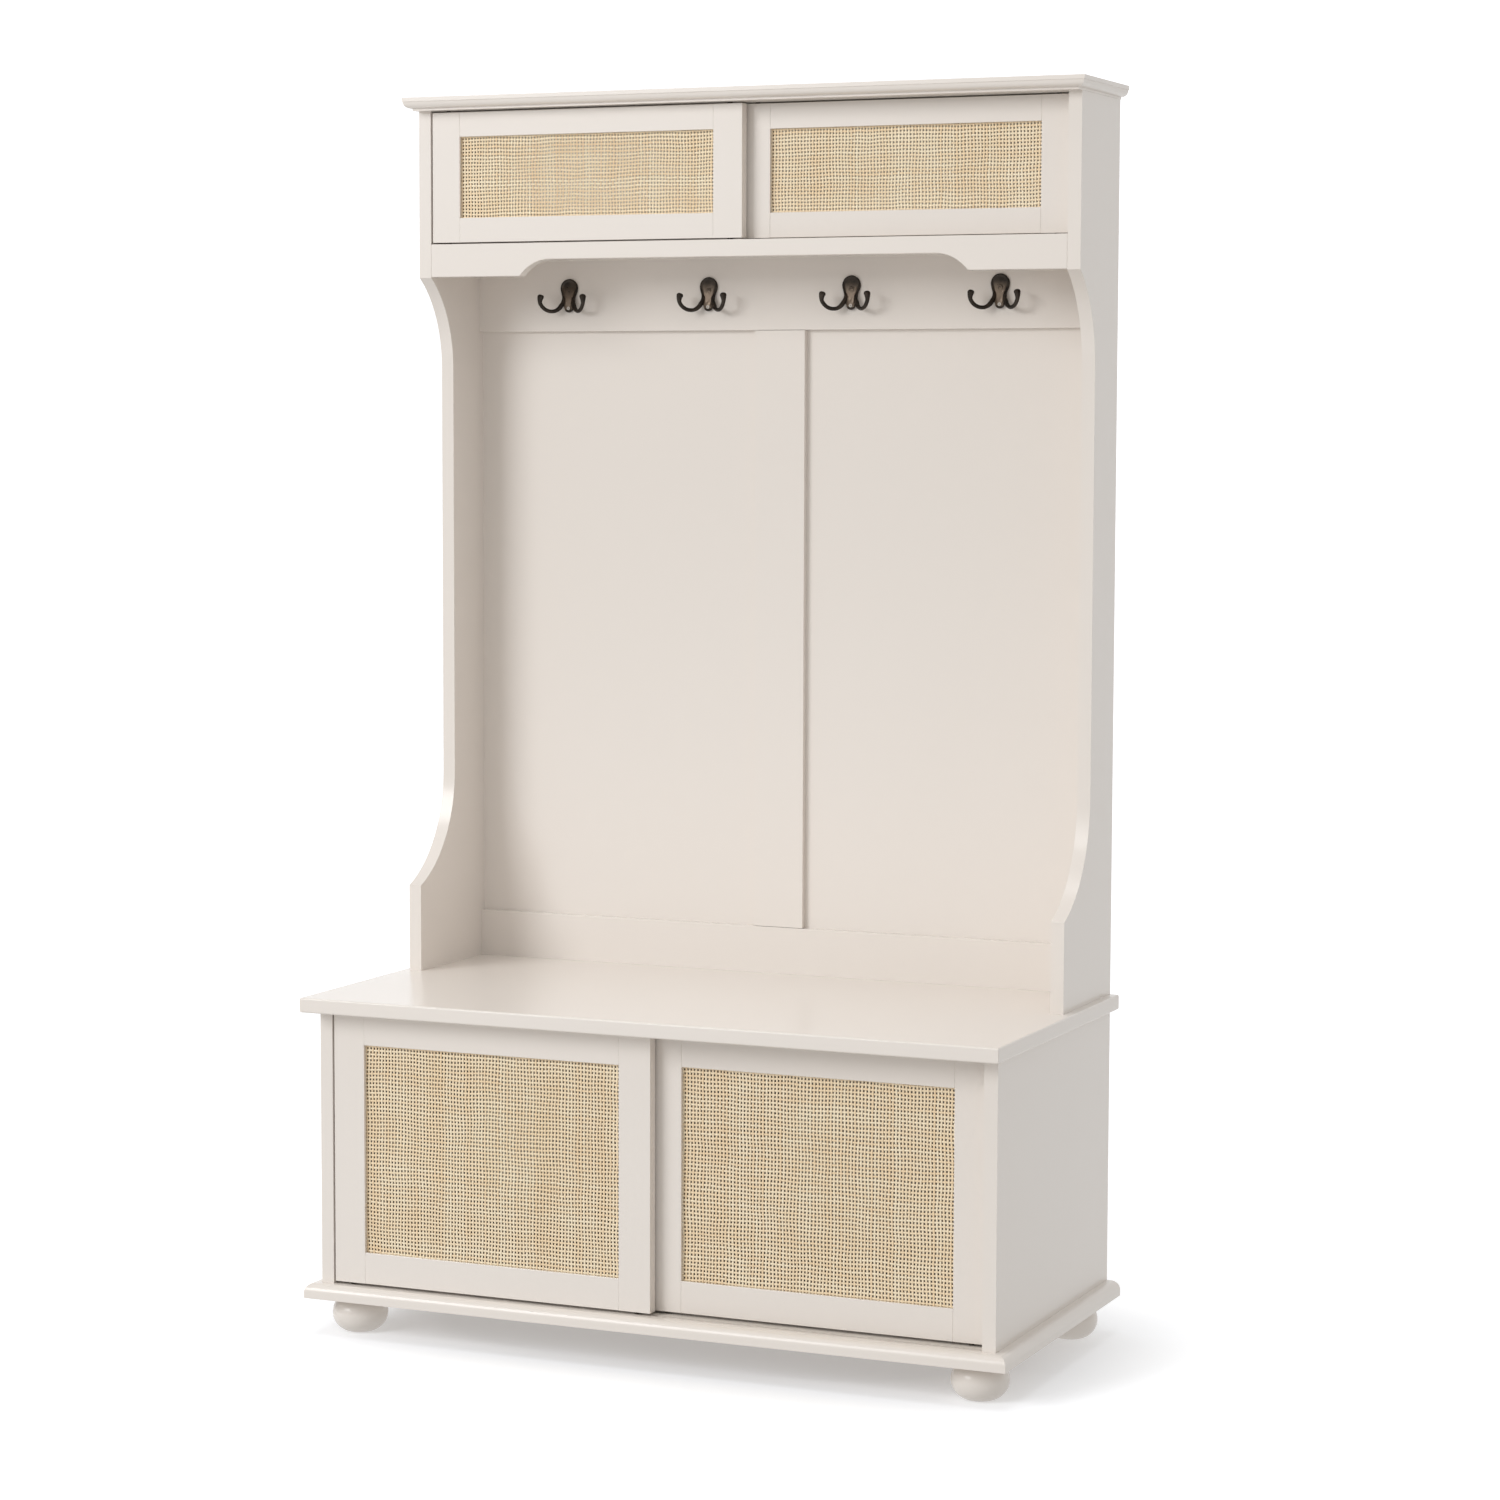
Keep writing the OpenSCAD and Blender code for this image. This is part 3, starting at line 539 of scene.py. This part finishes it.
def strands(tree, ask, upright_set):
    """One set of strands, flat and straight, each lifted over and under the other set."""
    if upright_set:
        count, other = ask["Upright strands"], ask["Level strands"]
        span, length = ask["Width"], ask["Height"]
    else:
        count, other = ask["Level strands"], ask["Upright strands"]
        span, length = ask["Height"], ask["Width"]
    pitch = sums(tree, "DIVIDE", span, count)
    cuts = sums(tree, "ADD", sums(tree, "MULTIPLY", other, 2), 1)
    start = sums(tree, "MULTIPLY", sums(tree, "SUBTRACT", pitch, span), 0.5)
    along, over = (1, 0) if upright_set else (0, 1)
    size = vector_of(tree, {over: ask["Strand width"], along: length, 2: ask["Thickness"]})
    strip_inputs = {"Size": size, "Vertices X": 2, "Vertices Y": 2, "Vertices Z": 2}
    strip_inputs["Vertices Y" if upright_set else "Vertices X"] = cuts
    strip = put(tree, "GeometryNodeMeshCube", inputs=strip_inputs).outputs["Mesh"]
    line = put(tree, "GeometryNodeMeshLine", {"mode": "OFFSET"}, {
        "Count": count, "Start Location": vector_of(tree, {over: start}),
        "Offset": vector_of(tree, {over: pitch}),
    }).outputs[0]
    laid = put(tree, "GeometryNodeInstanceOnPoints", inputs={"Points": line, "Instance": strip}).outputs[0]
    flat = put(tree, "GeometryNodeRealizeInstances", inputs={"Geometry": laid}).outputs[0]

    # Which strand a point is on, and how far from that strand's middle line.
    position = put(tree, "GeometryNodeInputPosition").outputs[0]
    place = put(tree, "ShaderNodeSeparateXYZ", inputs={0: position}).outputs
    steps = sums(tree, "DIVIDE", sums(tree, "ADD", place[over], sums(tree, "MULTIPLY", span, 0.5)), pitch)
    index = sums(tree, "FLOOR", steps)
    into = sums(tree, "SUBTRACT", steps, index)
    middle = sums(tree, "MULTIPLY", sums(tree, "SUBTRACT", into, 0.5), pitch)
    across = sums(tree, "DIVIDE", middle, sums(tree, "MULTIPLY", ask["Strand width"], 0.5))
    # Each set of strands has its own seed, so their tones don't repeat.
    set_seed = sums(tree, "ADD", ask["Seed"], 0.5 if upright_set else 9.5)
    tone = put(tree, "ShaderNodeTexWhiteNoise", {"noise_dimensions": "2D"}, {
        "Vector": vector_of(tree, {0: index, 1: set_seed}),
    }).outputs[0]
    for name, value in (("across", across), ("strand_tone", tone)):
        stored = put(tree, "GeometryNodeStoreNamedAttribute", {"data_type": "FLOAT", "domain": "POINT"}, {
            "Geometry": flat, "Name": name,
        })
        tree.links.new(value, stored.inputs["Value"])
        flat = stored.outputs[0]

    other_pitch = sums(tree, "DIVIDE", length, other)
    from_end = sums(tree, "ADD", place[along], sums(tree, "MULTIPLY", length, 0.5))
    turns = sums(tree, "DIVIDE", from_end, other_pitch)
    wave = sums(tree, "SINE", sums(tree, "MULTIPLY", turns, math.pi))
    sign = sums(tree, "SUBTRACT", 1, sums(tree, "MULTIPLY", sums(tree, "FLOORED_MODULO", index, 2), 2))
    lift = sums(tree, "MULTIPLY", sums(tree, "MULTIPLY", wave, sign), ask["Lift"])
    if not upright_set:
        lift = sums(tree, "MULTIPLY", lift, -1)
    own = vector_of(tree, {
        0: sums(tree, "MULTIPLY", index, STRANDS_APART),
        1: sums(tree, "MULTIPLY", place[along], WANDER_SCALE),
        2: ask["Seed"],
    })
    sway = sums(tree, "SUBTRACT", noise(tree, own, 1.0, 1.0), 0.5)
    sway = sums(tree, "MULTIPLY", sway, ask["Own wander"])
    offset = vector_of(tree, {over: sway, 2: lift})
    return put(tree, "GeometryNodeSetPosition", inputs={"Geometry": flat, "Offset": offset}).outputs[0]

# %% The weaving tree
weave, ask, result = new_tree("Open cane weave", (
    ("Width", "NodeSocketFloat", 0.39), ("Height", "NodeSocketFloat", 0.295),
    ("Upright strands", "NodeSocketInt", 80), ("Level strands", "NodeSocketInt", 57),
    ("Strand width", "NodeSocketFloat", 0.003), ("Thickness", "NodeSocketFloat", 0.0005),
    ("Lift", "NodeSocketFloat", 0.0004), ("Drift", "NodeSocketFloat", 0.003),
    ("Own wander", "NodeSocketFloat", 0.001), ("Seed", "NodeSocketFloat", 1.0),
    ("Finish", "NodeSocketMaterial", None),
))
woven = put(weave, "GeometryNodeJoinGeometry")
for upright_set in (True, False):
    weave.links.new(strands(weave, ask, upright_set), woven.inputs[0])
spot = put(weave, "ShaderNodeVectorMath", {"operation": "ADD"}, {
    0: put(weave, "GeometryNodeInputPosition").outputs[0],
    1: vector_of(weave, {0: ask["Seed"], 1: ask["Seed"]}),
}).outputs[0]
drift = put(weave, "ShaderNodeTexNoise", inputs={
    "Vector": spot, "Scale": DRIFT_SCALE, "Detail": 2.0,
}).outputs[1]
centred = put(weave, "ShaderNodeVectorMath", {"operation": "SUBTRACT"}, {0: drift, 1: (0.5, 0.5, 0.5)})
flat_drift = put(weave, "ShaderNodeVectorMath", {"operation": "MULTIPLY"}, {
    0: centred.outputs[0], 1: vector_of(weave, {0: ask["Drift"], 1: ask["Drift"]}),
}).outputs[0]
drifted = put(weave, "GeometryNodeSetPosition", inputs={"Geometry": woven.outputs[0], "Offset": flat_drift})
stood = put(weave, "GeometryNodeTransform", inputs={
    "Geometry": drifted.outputs[0], "Rotation": (math.pi / 2, 0, 0),
}).outputs[0]
finish_tree(weave, stood, ask["Finish"], result)
print("weaving tree nodes:", len(weave.nodes))

# %% [markdown]
# A modifier runs the tree on an empty mesh. Its inputs are set by their identifiers. The
# result is then copied out as a plain mesh, so that the pieces carry no live trees.

# %% Weave the four panels
def grown(tree, name, values, base=None):
    """Runs a tree as a modifier and returns the plain mesh that it makes."""
    holder = bpy.data.objects.new(name, base or bpy.data.meshes.new(name + "_base"))
    bpy.context.scene.collection.objects.link(holder)
    modifier = holder.modifiers.new(name, "NODES")
    modifier.node_group = tree
    for item in tree.interface.items_tree:
        if item.item_type == "SOCKET" and item.in_out == "INPUT" and item.name in values:
            modifier[item.identifier] = values[item.name]
    graph = bpy.context.evaluated_depsgraph_get()
    made = holder.evaluated_get(graph)
    mesh = bpy.data.meshes.new_from_object(made, preserve_all_data_layers=True, depsgraph=graph)
    holder.modifiers.clear()
    bpy.data.objects.remove(holder)
    mesh.name = name
    return mesh


EDGE_GAP = 2 * MM  # the weave is this much smaller than its frame node, which leaves room to wander
# The distance between upright strands and between level ones.
PITCHES = {"upper": (4.55 * MM, 4.75 * MM), "lower": (4.7 * MM, 5.2 * MM)}
for number, door in enumerate(DOORS):
    low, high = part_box(f"{door}_webbing")
    width, height = high.x - low.x - EDGE_GAP, high.z - low.z - EDGE_GAP
    upright_pitch, level_pitch = PITCHES[door.split("_")[0]]
    mesh = grown(weave, f"{door}_woven_cane", {
        "Width": width, "Height": height,
        "Upright strands": round(width / upright_pitch), "Level strands": round(height / level_pitch),
        "Strand width": 2.55 * MM, "Thickness": 0.4 * MM, "Lift": 0.36 * MM,
        "Drift": 6.0 * MM, "Own wander": 0.5 * MM, "Seed": 3.0 + 2 * number, "Finish": cane,
    })
    mesh.transform(Matrix.Translation((low + high) / 2))
    add_piece(f"{door}_woven_cane", mesh, body_of_node(f"{door}_webbing"), [f"{door}_webbing"])
    print(door, "cane triangles:", sum(len(p.vertices) - 2 for p in mesh.polygons))

# %% [markdown]
# ## Bun feet
# A bun foot is turned on a lathe, so its shape is one profile spun round an axis. The profile
# starts at the pad that meets the floor, swells to its widest point at half height, and draws in
# again to a flat top just under the base board.

# %% Turn the feet
def turned(profile, segments, centre):
    """Closed mesh from a profile of (radius, height) that starts and ends on the axis."""
    bm = bmesh.new()
    rings = []
    for radius, height in profile[1:-1]:
        rings.append([
            bm.verts.new((centre.x + radius * math.cos(a), centre.y + radius * math.sin(a), height))
            for a in (2 * math.pi * k / segments for k in range(segments))
        ])
    low, high = (bm.verts.new((centre.x, centre.y, profile[end][1])) for end in (0, -1))
    for first, second in zip(rings, rings[1:]):
        for k in range(segments):
            bm.faces.new((first[k], first[k - segments + 1], second[k - segments + 1], second[k]))
    for k in range(segments):
        bm.faces.new((rings[0][k - segments + 1], rings[0][k], low))
        bm.faces.new((rings[-1][k], rings[-1][k - segments + 1], high))
    bmesh.ops.recalc_face_normals(bm, faces=bm.faces)
    shade(bm, 35)
    return bm


for corner in ("front_left", "front_right", "back_left", "back_right"):
    low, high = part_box(f"foot_{corner}")
    centre = (low + high) / 2
    height, widest, pad = high.z - low.z, (high.x - low.x) / 2, 18 * MM
    bulge = (widest ** 2 - pad ** 2 - (height / 2) ** 2) / (2 * (widest - pad))
    side = widest - bulge
    end = math.asin((height / 2) / side)
    profile = [(0, low.z), (pad * 0.93, low.z), (pad * 0.99, low.z + 0.4 * MM)]
    steps = 28
    for k in range(1, steps):
        angle = -end + 2 * end * k / steps
        profile.append((bulge + side * math.cos(angle), low.z + height / 2 + side * math.sin(angle)))
    profile += [(pad * 0.99, high.z - 0.2 * MM), (0, high.z - 0.1 * MM)]
    bm = turned(profile, 72, centre)
    mesh = bpy.data.meshes.new(f"bun_{corner}")
    bm.to_mesh(mesh)
    bm.free()
    mesh.materials.append(paint_along_x)
    add_piece(f"bun_{corner}", mesh, "carcass", [f"foot_{corner}"])
print("foot height", round(height / MM), "widest", round(2 * widest / MM))

# %% [markdown]
# ## Cast hooks
# The hooks are castings: a drop-shaped plate with a raised rim and a shallow field, whose
# flanks run on into two prongs that swing out, forward and up to a rounded end. Separate solids
# with hard joins would look welded. So the plate and the prongs are made as overlapping closed
# shells, a voxel remesh melts them into one skin, and a little smoothing rounds every corner as
# a mould does. The casting is made three per cent larger than its frame node, whose plain solid
# is a little slim, and its screws move with it.

# %% Outline of the plate
# Sizes of the hook in millimetres: half widths, and drops from the top of the plate.
HEAD, WAIST, WAIST_DROP, TAB, TAB_DROP = 13.0, 9.0, 29.0, 6.0, 39.5
UPPER_SCREW_DROP, PLATE, FOOT_LIFT = 18.5, 3.5, 2.4
HEAD_END = 0.35  # the round head ends this share of its radius below its middle
NECK, NECK_DROP = 0.936 * HEAD, 1.35 * HEAD  # half width and drop where it ends


def held(value):
    """A value held between 0 and 1."""
    return min(1.0, max(0.0, value))


def plate_outline(inset, count=96):
    """Points of the plate's outline, moved in by an inset: head, waist and foot tab."""
    points = []
    for k in range(count):
        angle = 2 * math.pi * k / count
        x, z = math.sin(angle), math.cos(angle)
        if z > -HEAD_END:  # the round head
            points.append(((HEAD - inset) * x, -HEAD + (HEAD - inset) * z))
            continue
        # Below the head the half width runs smoothly from the neck to the waist and to the tab.
        drop = NECK_DROP + (TAB_DROP + TAB - NECK_DROP) * (-HEAD_END - z) / (1 - HEAD_END)
        fall = held((drop - NECK_DROP) / (WAIST_DROP - NECK_DROP))
        slide = held((drop - WAIST_DROP) / (TAB_DROP - WAIST_DROP))
        half = NECK + (WAIST - NECK) * math.sin(fall * math.pi / 2) + (TAB - WAIST) * slide ** 1.5
        end = held((drop - TAB_DROP) / TAB)
        rounding = math.sqrt(max(0.0, 1 - end ** 2))
        narrow = max(0.0, half * rounding - inset * rounding)
        points.append((math.copysign(narrow, x) if abs(x) > 1e-6 else 0.0, -drop + inset * end))
    return points


print("points round the plate:", len(plate_outline(0.0)))

# %% Plate
PLATE_LEVELS = (  # how far in from the outline, and how far forward
    (0.5, 0.1), (0.0, 0.7), (0.0, 2.2), (0.5, 3.1),
    (1.3, PLATE), (2.2, PLATE - 0.3), (3.0, PLATE - 0.9), (4.2, PLATE - 1.2),
)
LEAN_DROP, LEAN_LENGTH, LEAN_FACE = 16, 18, 2  # where the face starts to lean forward


def bridge(bm, rings):
    """Faces between each ring of points and the next."""
    for first, second in zip(rings, rings[1:]):
        for k in range(len(first)):
            bm.faces.new((first[k - 1], first[k], second[k], second[k - 1]))


def lofted_plate(bm):
    """The plate as a stack of outlines: back, edge, raised rim, hollow field. Y runs forwards."""
    rings = []
    for inset, forward in PLATE_LEVELS:
        ring = []
        for x, z in plate_outline(inset):
            # The lower part of the plate comes forward between the prongs.
            lean = FOOT_LIFT * held((-z - LEAN_DROP) / LEAN_LENGTH) * (forward > LEAN_FACE)
            ring.append(bm.verts.new((x, forward + lean, z)))
        rings.append(ring)
    bridge(bm, rings)
    bm.faces.new(rings[0])
    bm.faces.new(rings[-1])


print("levels of the plate:", len(PLATE_LEVELS))

# %% Path of a prong
PRONG, BALL, BEND, DROP, CURL = 2.9, 4.6, 17.6, 47.1, 6.0
PRONG_TURN, PRONG_SIDE, PRONG_FORWARD = math.radians(50), 6.3, 4.2
BEND_DROP, BEND_STEPS = DROP - PRONG - BEND, 32
FLANK = (  # above the bend: out from the middle, forward, height, radius
    (11.6, 1.4, -12.0, 1.3), (11.3, 1.6, -16.0, 1.5), (10.0, 2.0, -20.0, 1.6), (8.5, 2.7, -23.5, 1.8),
)
BALL_END = ((1.3, 0.96), (2.4, 0.8), (3.2, 0.52))  # how far past the bend, share of the ball


def prong_path(side):
    """Centre line and radius of a prong: down the plate's flank, round the bend, up to the ball."""
    line = []  # out along the prong, height from the middle of the bend, radius
    for k in range(BEND_STEPS + 1):
        angle = math.radians(180 + (180 + CURL) * k / BEND_STEPS)
        root = max(0.0, 1 - abs(k - 6) / 7)  # the web between the flank and the prong
        swell = max(0.0, (k - 27) / 5)  # the last five steps swell into the ball
        thin = max(0.0, 1 - k / 8)  # the flank is thinner than the prong
        reach = BEND - 1.1 * root - 1.9 * swell
        radius = PRONG - 0.25 * math.sin(math.pi * k / BEND_STEPS) + 0.7 * root - 0.9 * thin
        radius += (BALL - PRONG) * swell ** 1.3
        line.append((BEND + 0.9 * thin + reach * math.cos(angle), reach * math.sin(angle), radius))
    out, up, _ = line[-1]
    for extra, share in BALL_END:
        line.append((out - 0.35 * extra, up + 0.94 * extra, share * BALL))
    # Above the bend the prong thins into the rim of the plate and follows its outline.
    path = [(Vector((side * x, forward, z)), radius) for x, forward, z, radius in FLANK]
    for r, z, radius in line:
        across, forward = r * math.sin(PRONG_TURN), r * math.cos(PRONG_TURN)
        place = Vector((side * (PRONG_SIDE + across), PRONG_FORWARD + forward, -BEND_DROP + z))
        path.append((place, radius))
    return path


print("points along a prong:", len(prong_path(1)))

# %% Prongs and screw seats
SEAT_RING = (  # radius round the screw, and how far forward
    (3.5, 0.8), (3.5, PLATE - 0.7), (3.2, PLATE - 0.2),
    (2.6, PLATE - 0.2), (2.2, PLATE - 0.8), (2.2, 0.8),
)


def circle(count):
    """Cosine and sine at even steps round a circle."""
    return [(math.cos(2 * math.pi * k / count), math.sin(2 * math.pi * k / count)) for k in range(count)]


def tube(bm, path, segments=20):
    """A closed round tube along a path of (point, radius)."""
    across = Vector((0, 0, 1)).cross(path[-1][0] - path[0][0]).normalized()
    rings = []
    for i, (point, radius) in enumerate(path):
        ahead = (path[min(i + 1, len(path) - 1)][0] - path[max(i - 1, 0)][0]).normalized()
        side = ahead.cross(across).normalized()
        rings.append([bm.verts.new(point + radius * (side * c + across * s)) for c, s in circle(segments)])
    bridge(bm, rings)
    bm.faces.new(rings[0])
    bm.faces.new(rings[-1])


def screw_seat(bm, drop):
    """A raised ring round a screw hole."""
    rings = [
        [bm.verts.new((radius * c, forward, -drop + radius * s)) for c, s in circle(32)]
        for radius, forward in SEAT_RING
    ]
    bridge(bm, rings + rings[:1])


print("corners of the seat ring:", len(SEAT_RING))

# %% Melt the hook into one casting
VOXEL = 0.42
CASTING = 1.03  # the hooks are cast a little larger than their frame nodes
CUT_BEHIND = -0.05  # what lies further back than this is cut off
RIM, RIM_FADE = 2.6, 2.0  # width of the rim kept dark as painted shade, and over how much the brown fades in
SHADED_TOP_DROP, SHADE_FADE_LENGTH = 9, 16  # down to this drop the field is kept dark as painted shade; over this much the brown grows
HEAD_TO_WAIST = 14  # the drop over which the brown field narrows with the plate


def cast_hook():
    """One hook as a mesh in millimetres, its plate's top at the origin and -Y forwards."""
    bm = bmesh.new()
    lofted_plate(bm)
    for side in (-1, 1):
        tube(bm, prong_path(side))
    screw_seat(bm, UPPER_SCREW_DROP)
    bmesh.ops.transform(bm, matrix=Matrix.Scale(-1, 4, (0, 1, 0)), verts=bm.verts)
    bmesh.ops.recalc_face_normals(bm, faces=bm.faces)
    mesh = bpy.data.meshes.new("hook_shells")
    bm.to_mesh(mesh)
    bm.free()
    holder = bpy.data.objects.new("hook_shells", mesh)
    bpy.context.scene.collection.objects.link(holder)
    remesh = holder.modifiers.new("melt", "REMESH")
    remesh.mode, remesh.voxel_size = "VOXEL", VOXEL
    soften = holder.modifiers.new("soften", "SMOOTH")
    soften.factor, soften.iterations = 0.5, 7
    graph = bpy.context.evaluated_depsgraph_get()
    cast = bpy.data.meshes.new_from_object(holder.evaluated_get(graph), depsgraph=graph)
    bpy.data.objects.remove(holder)
    # What lies behind the rail's face is cut off flat.
    bm = bmesh.new()
    bm.from_mesh(cast)
    everything = bm.verts[:] + bm.edges[:] + bm.faces[:]
    cut = bmesh.ops.bisect_plane(
        bm, geom=everything, plane_co=(0, CUT_BEHIND, 0), plane_no=(0, 1, 0), clear_outer=True,
    )
    bmesh.ops.holes_fill(bm, edges=[g for g in cut["geom_cut"] if isinstance(g, bmesh.types.BMEdge)])
    bmesh.ops.triangulate(bm, faces=[f for f in bm.faces if len(f.verts) > 4])
    shade(bm, 50)
    bm.to_mesh(cast)
    bm.free()
    # How brown the bronze is: rubbed brown in the lower field of the plate, while the rim and the top of
    # the field are kept dark as painted shade.
    wear_and_shade = cast.attributes.new("wear_and_shade", "FLOAT", "POINT")
    for vert, place in zip(cast.vertices, wear_and_shade.data):
        drop = -vert.co.z
        half = HEAD - (HEAD - WAIST) * held((drop - HEAD) / HEAD_TO_WAIST) - RIM
        inside = held((half - abs(vert.co.x)) / RIM_FADE)
        on_the_face = drop < TAB_DROP + 2 and vert.normal.y < -0.3
        place.value = inside * held((drop - SHADED_TOP_DROP) / SHADE_FADE_LENGTH) if on_the_face else 0.0
    return cast


hook_mesh = cast_hook()
hook_mesh.materials.append(bronze)
hook_xs = []
for name in ("hook_1", "hook_2", "hook_3", "hook_4"):
    low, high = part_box(name)
    top = Vector(((low.x + high.x) / 2, high.y, high.z))
    hook_xs.append(top.x)
    mesh = hook_mesh.copy()
    mesh.transform(Matrix.Translation(top) @ Matrix.Scale(CASTING * MM, 4))
    mesh.name = name + "_cast"
    add_piece(name + "_cast", mesh, "carcass", [name])
bpy.data.meshes.remove(hook_mesh)
print("hooks at", [round(x / MM) for x in hook_xs])
print("triangles in each hook:", sum(len(p.vertices) - 2 for p in mesh.polygons))

# %% [markdown]
# ## Screws
# Two screws hold each hook, and countersunk screws hold the back panels. All of them are the
# same shape at three sizes: a cone head with a cross cut in it on a plain shank. One tree makes a
# screw at every point that it is given, and turns each by its own angle, since nobody lines up
# the slots.

# %% The screw tree
screw, ask, result = new_tree("Countersunk screws", (
    ("Head radius", "NodeSocketFloat", 0.004), ("Head height", "NodeSocketFloat", 0.002),
    ("Shank radius", "NodeSocketFloat", 0.002), ("Shank length", "NodeSocketFloat", 0.010),
    ("Cross width", "NodeSocketFloat", 0.001), ("Seed", "NodeSocketInt", 4),
    ("Finish", "NodeSocketMaterial", None),
))
head = put(screw, "GeometryNodeMeshCone", {"fill_type": "NGON"}, {
    "Vertices": 32, "Radius Top": ask["Head radius"],
    "Radius Bottom": ask["Shank radius"], "Depth": ask["Head height"],
}).outputs["Mesh"]
# Two bars, each a little longer than half the head's width, cut the cross.
long_side = sums(screw, "MULTIPLY", ask["Head radius"], 1.25)
lift = vector_of(screw, {2: sums(screw, "MULTIPLY", ask["Head height"], 0.95)})
for first, second in ((long_side, ask["Cross width"]), (ask["Cross width"], long_side)):
    size = vector_of(screw, {0: first, 1: second, 2: ask["Head height"]})
    bar = put(screw, "GeometryNodeMeshCube", inputs={"Size": size}).outputs["Mesh"]
    bar = put(screw, "GeometryNodeTransform", inputs={"Geometry": bar, "Translation": lift}).outputs[0]
    head = put(screw, "GeometryNodeMeshBoolean", {"operation": "DIFFERENCE"}, {0: head, 1: bar}).outputs[0]
shank = put(screw, "GeometryNodeMeshCylinder", inputs={
    "Vertices": 16, "Radius": ask["Shank radius"], "Depth": ask["Shank length"],
}).outputs["Mesh"]
half_down = vector_of(screw, {2: sums(screw, "MULTIPLY", ask["Shank length"], -0.5)})
shank = put(screw, "GeometryNodeTransform", inputs={"Geometry": shank, "Translation": half_down}).outputs[0]
whole = put(screw, "GeometryNodeJoinGeometry")
screw.links.new(head, whole.inputs[0])
screw.links.new(shank, whole.inputs[0])
number = put(screw, "GeometryNodeInputIndex").outputs[0]
spin = put(screw, "ShaderNodeTexWhiteNoise", {"noise_dimensions": "2D"}, {
    "Vector": vector_of(screw, {0: number, 1: ask["Seed"]}),
}).outputs[0]
angle = vector_of(screw, {2: sums(screw, "MULTIPLY", spin, 6.28)})  # up to a full turn
placed = put(screw, "GeometryNodeInstanceOnPoints", inputs={
    "Points": ask["Geometry"], "Instance": whole.outputs[0], "Rotation": angle,
}).outputs[0]
finish_tree(screw, placed, ask["Finish"], result)
print("screw tree nodes:", len(screw.nodes))

# %% Drive the screws
def driven(name, points, facing, values, stands_for):
    """Screws at points of the frame; facing is -1 where the heads look forwards, +1 backwards."""
    # The tree works lying down, so the points are laid down first, and the screws stood up after.
    turn = Matrix.Rotation(math.radians(90 if facing < 0 else -90), 4, "X")
    base = bpy.data.meshes.new(name + "_points")
    base.from_pydata([turn.inverted() @ Vector(p) for p in points], [], [])
    mesh = grown(screw, name, values, base)
    mesh.transform(turn)
    return add_piece(name, mesh, "carcass", stands_for)


def island_centres(node, axis_value):
    """Middle points of a node's separate solids, in X and Z, with Y set to a value."""
    bm = bmesh.new()
    bm.from_mesh(nodes[node].data)
    bmesh.ops.remove_doubles(bm, verts=bm.verts, dist=MERGE)
    left, centres = set(bm.verts), []
    while left:
        stack, island = [left.pop()], []
        while stack:
            vert = stack.pop()
            island.append(vert.co.copy())
            for edge in vert.link_edges:
                other = edge.other_vert(vert)
                if other in left:
                    left.remove(other)
                    stack.append(other)
        xs, zs = [c.x for c in island], [c.z for c in island]
        centres.append(Vector(((min(xs) + max(xs)) / 2, axis_value, (min(zs) + max(zs)) / 2)))
    bm.free()
    return sorted(centres, key=lambda c: (round(c.x, 4), round(c.z, 4)))


# Where the undersides of the heads lie: in front of the rail's face, and deep in the back, in mm.
LOW_FORWARD, HIGH_FORWARD, BACK_SUNK = 1.4 + FOOT_LIFT, 1.8, 1.8
rail_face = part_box("hook_rail")[0].y
hook_points = island_centres("hook_screws", rail_face)
# The screws move down with the holes of the slightly larger casting.
low_move = Vector((0, LOW_FORWARD * MM, (CASTING - 1) * TAB_DROP * MM))
high_move = Vector((0, HIGH_FORWARD * MM, (CASTING - 1) * UPPER_SCREW_DROP * MM))
low_screws = [point - low_move for point in hook_points[0::2]]
high_screws = [point - high_move for point in hook_points[1::2]]
driven("hook_foot_screws", low_screws, -1, {
    "Head radius": 2.5 * MM, "Head height": 1.3 * MM, "Shank radius": 1.4 * MM, "Shank length": 11.0 * MM,
    "Cross width": 0.6 * MM, "Seed": 4, "Finish": bright_steel,
}, ["hook_screws"])
driven("hook_head_screws", high_screws, -1, {
    "Head radius": 1.9 * MM, "Head height": 1.2 * MM, "Shank radius": 1.4 * MM, "Shank length": 9.0 * MM,
    "Cross width": 0.6 * MM, "Seed": 5, "Finish": bronze,
}, ["hook_screws"])
back_points = island_centres("back_screws", BACK - BACK_SUNK * MM)
driven("back_screws_crossed", back_points, 1, {
    "Head radius": 3.4 * MM, "Head height": 1.7 * MM, "Shank radius": 1.6 * MM, "Shank length": 10.5 * MM,
    "Cross width": 0.7 * MM, "Seed": 9, "Finish": zinc,
}, ["back_screws"])
print("hook screws:", len(hook_points), "back screws:", len(back_points))

# %% [markdown]
# ## Sizes
# The frame's box is printed. The finished model's box should agree with it, because the finish
# adds nothing outside the boards.

# %% Sizes
print("frame box", [[round(v, 4) for v in c] for c in frame_bounds])
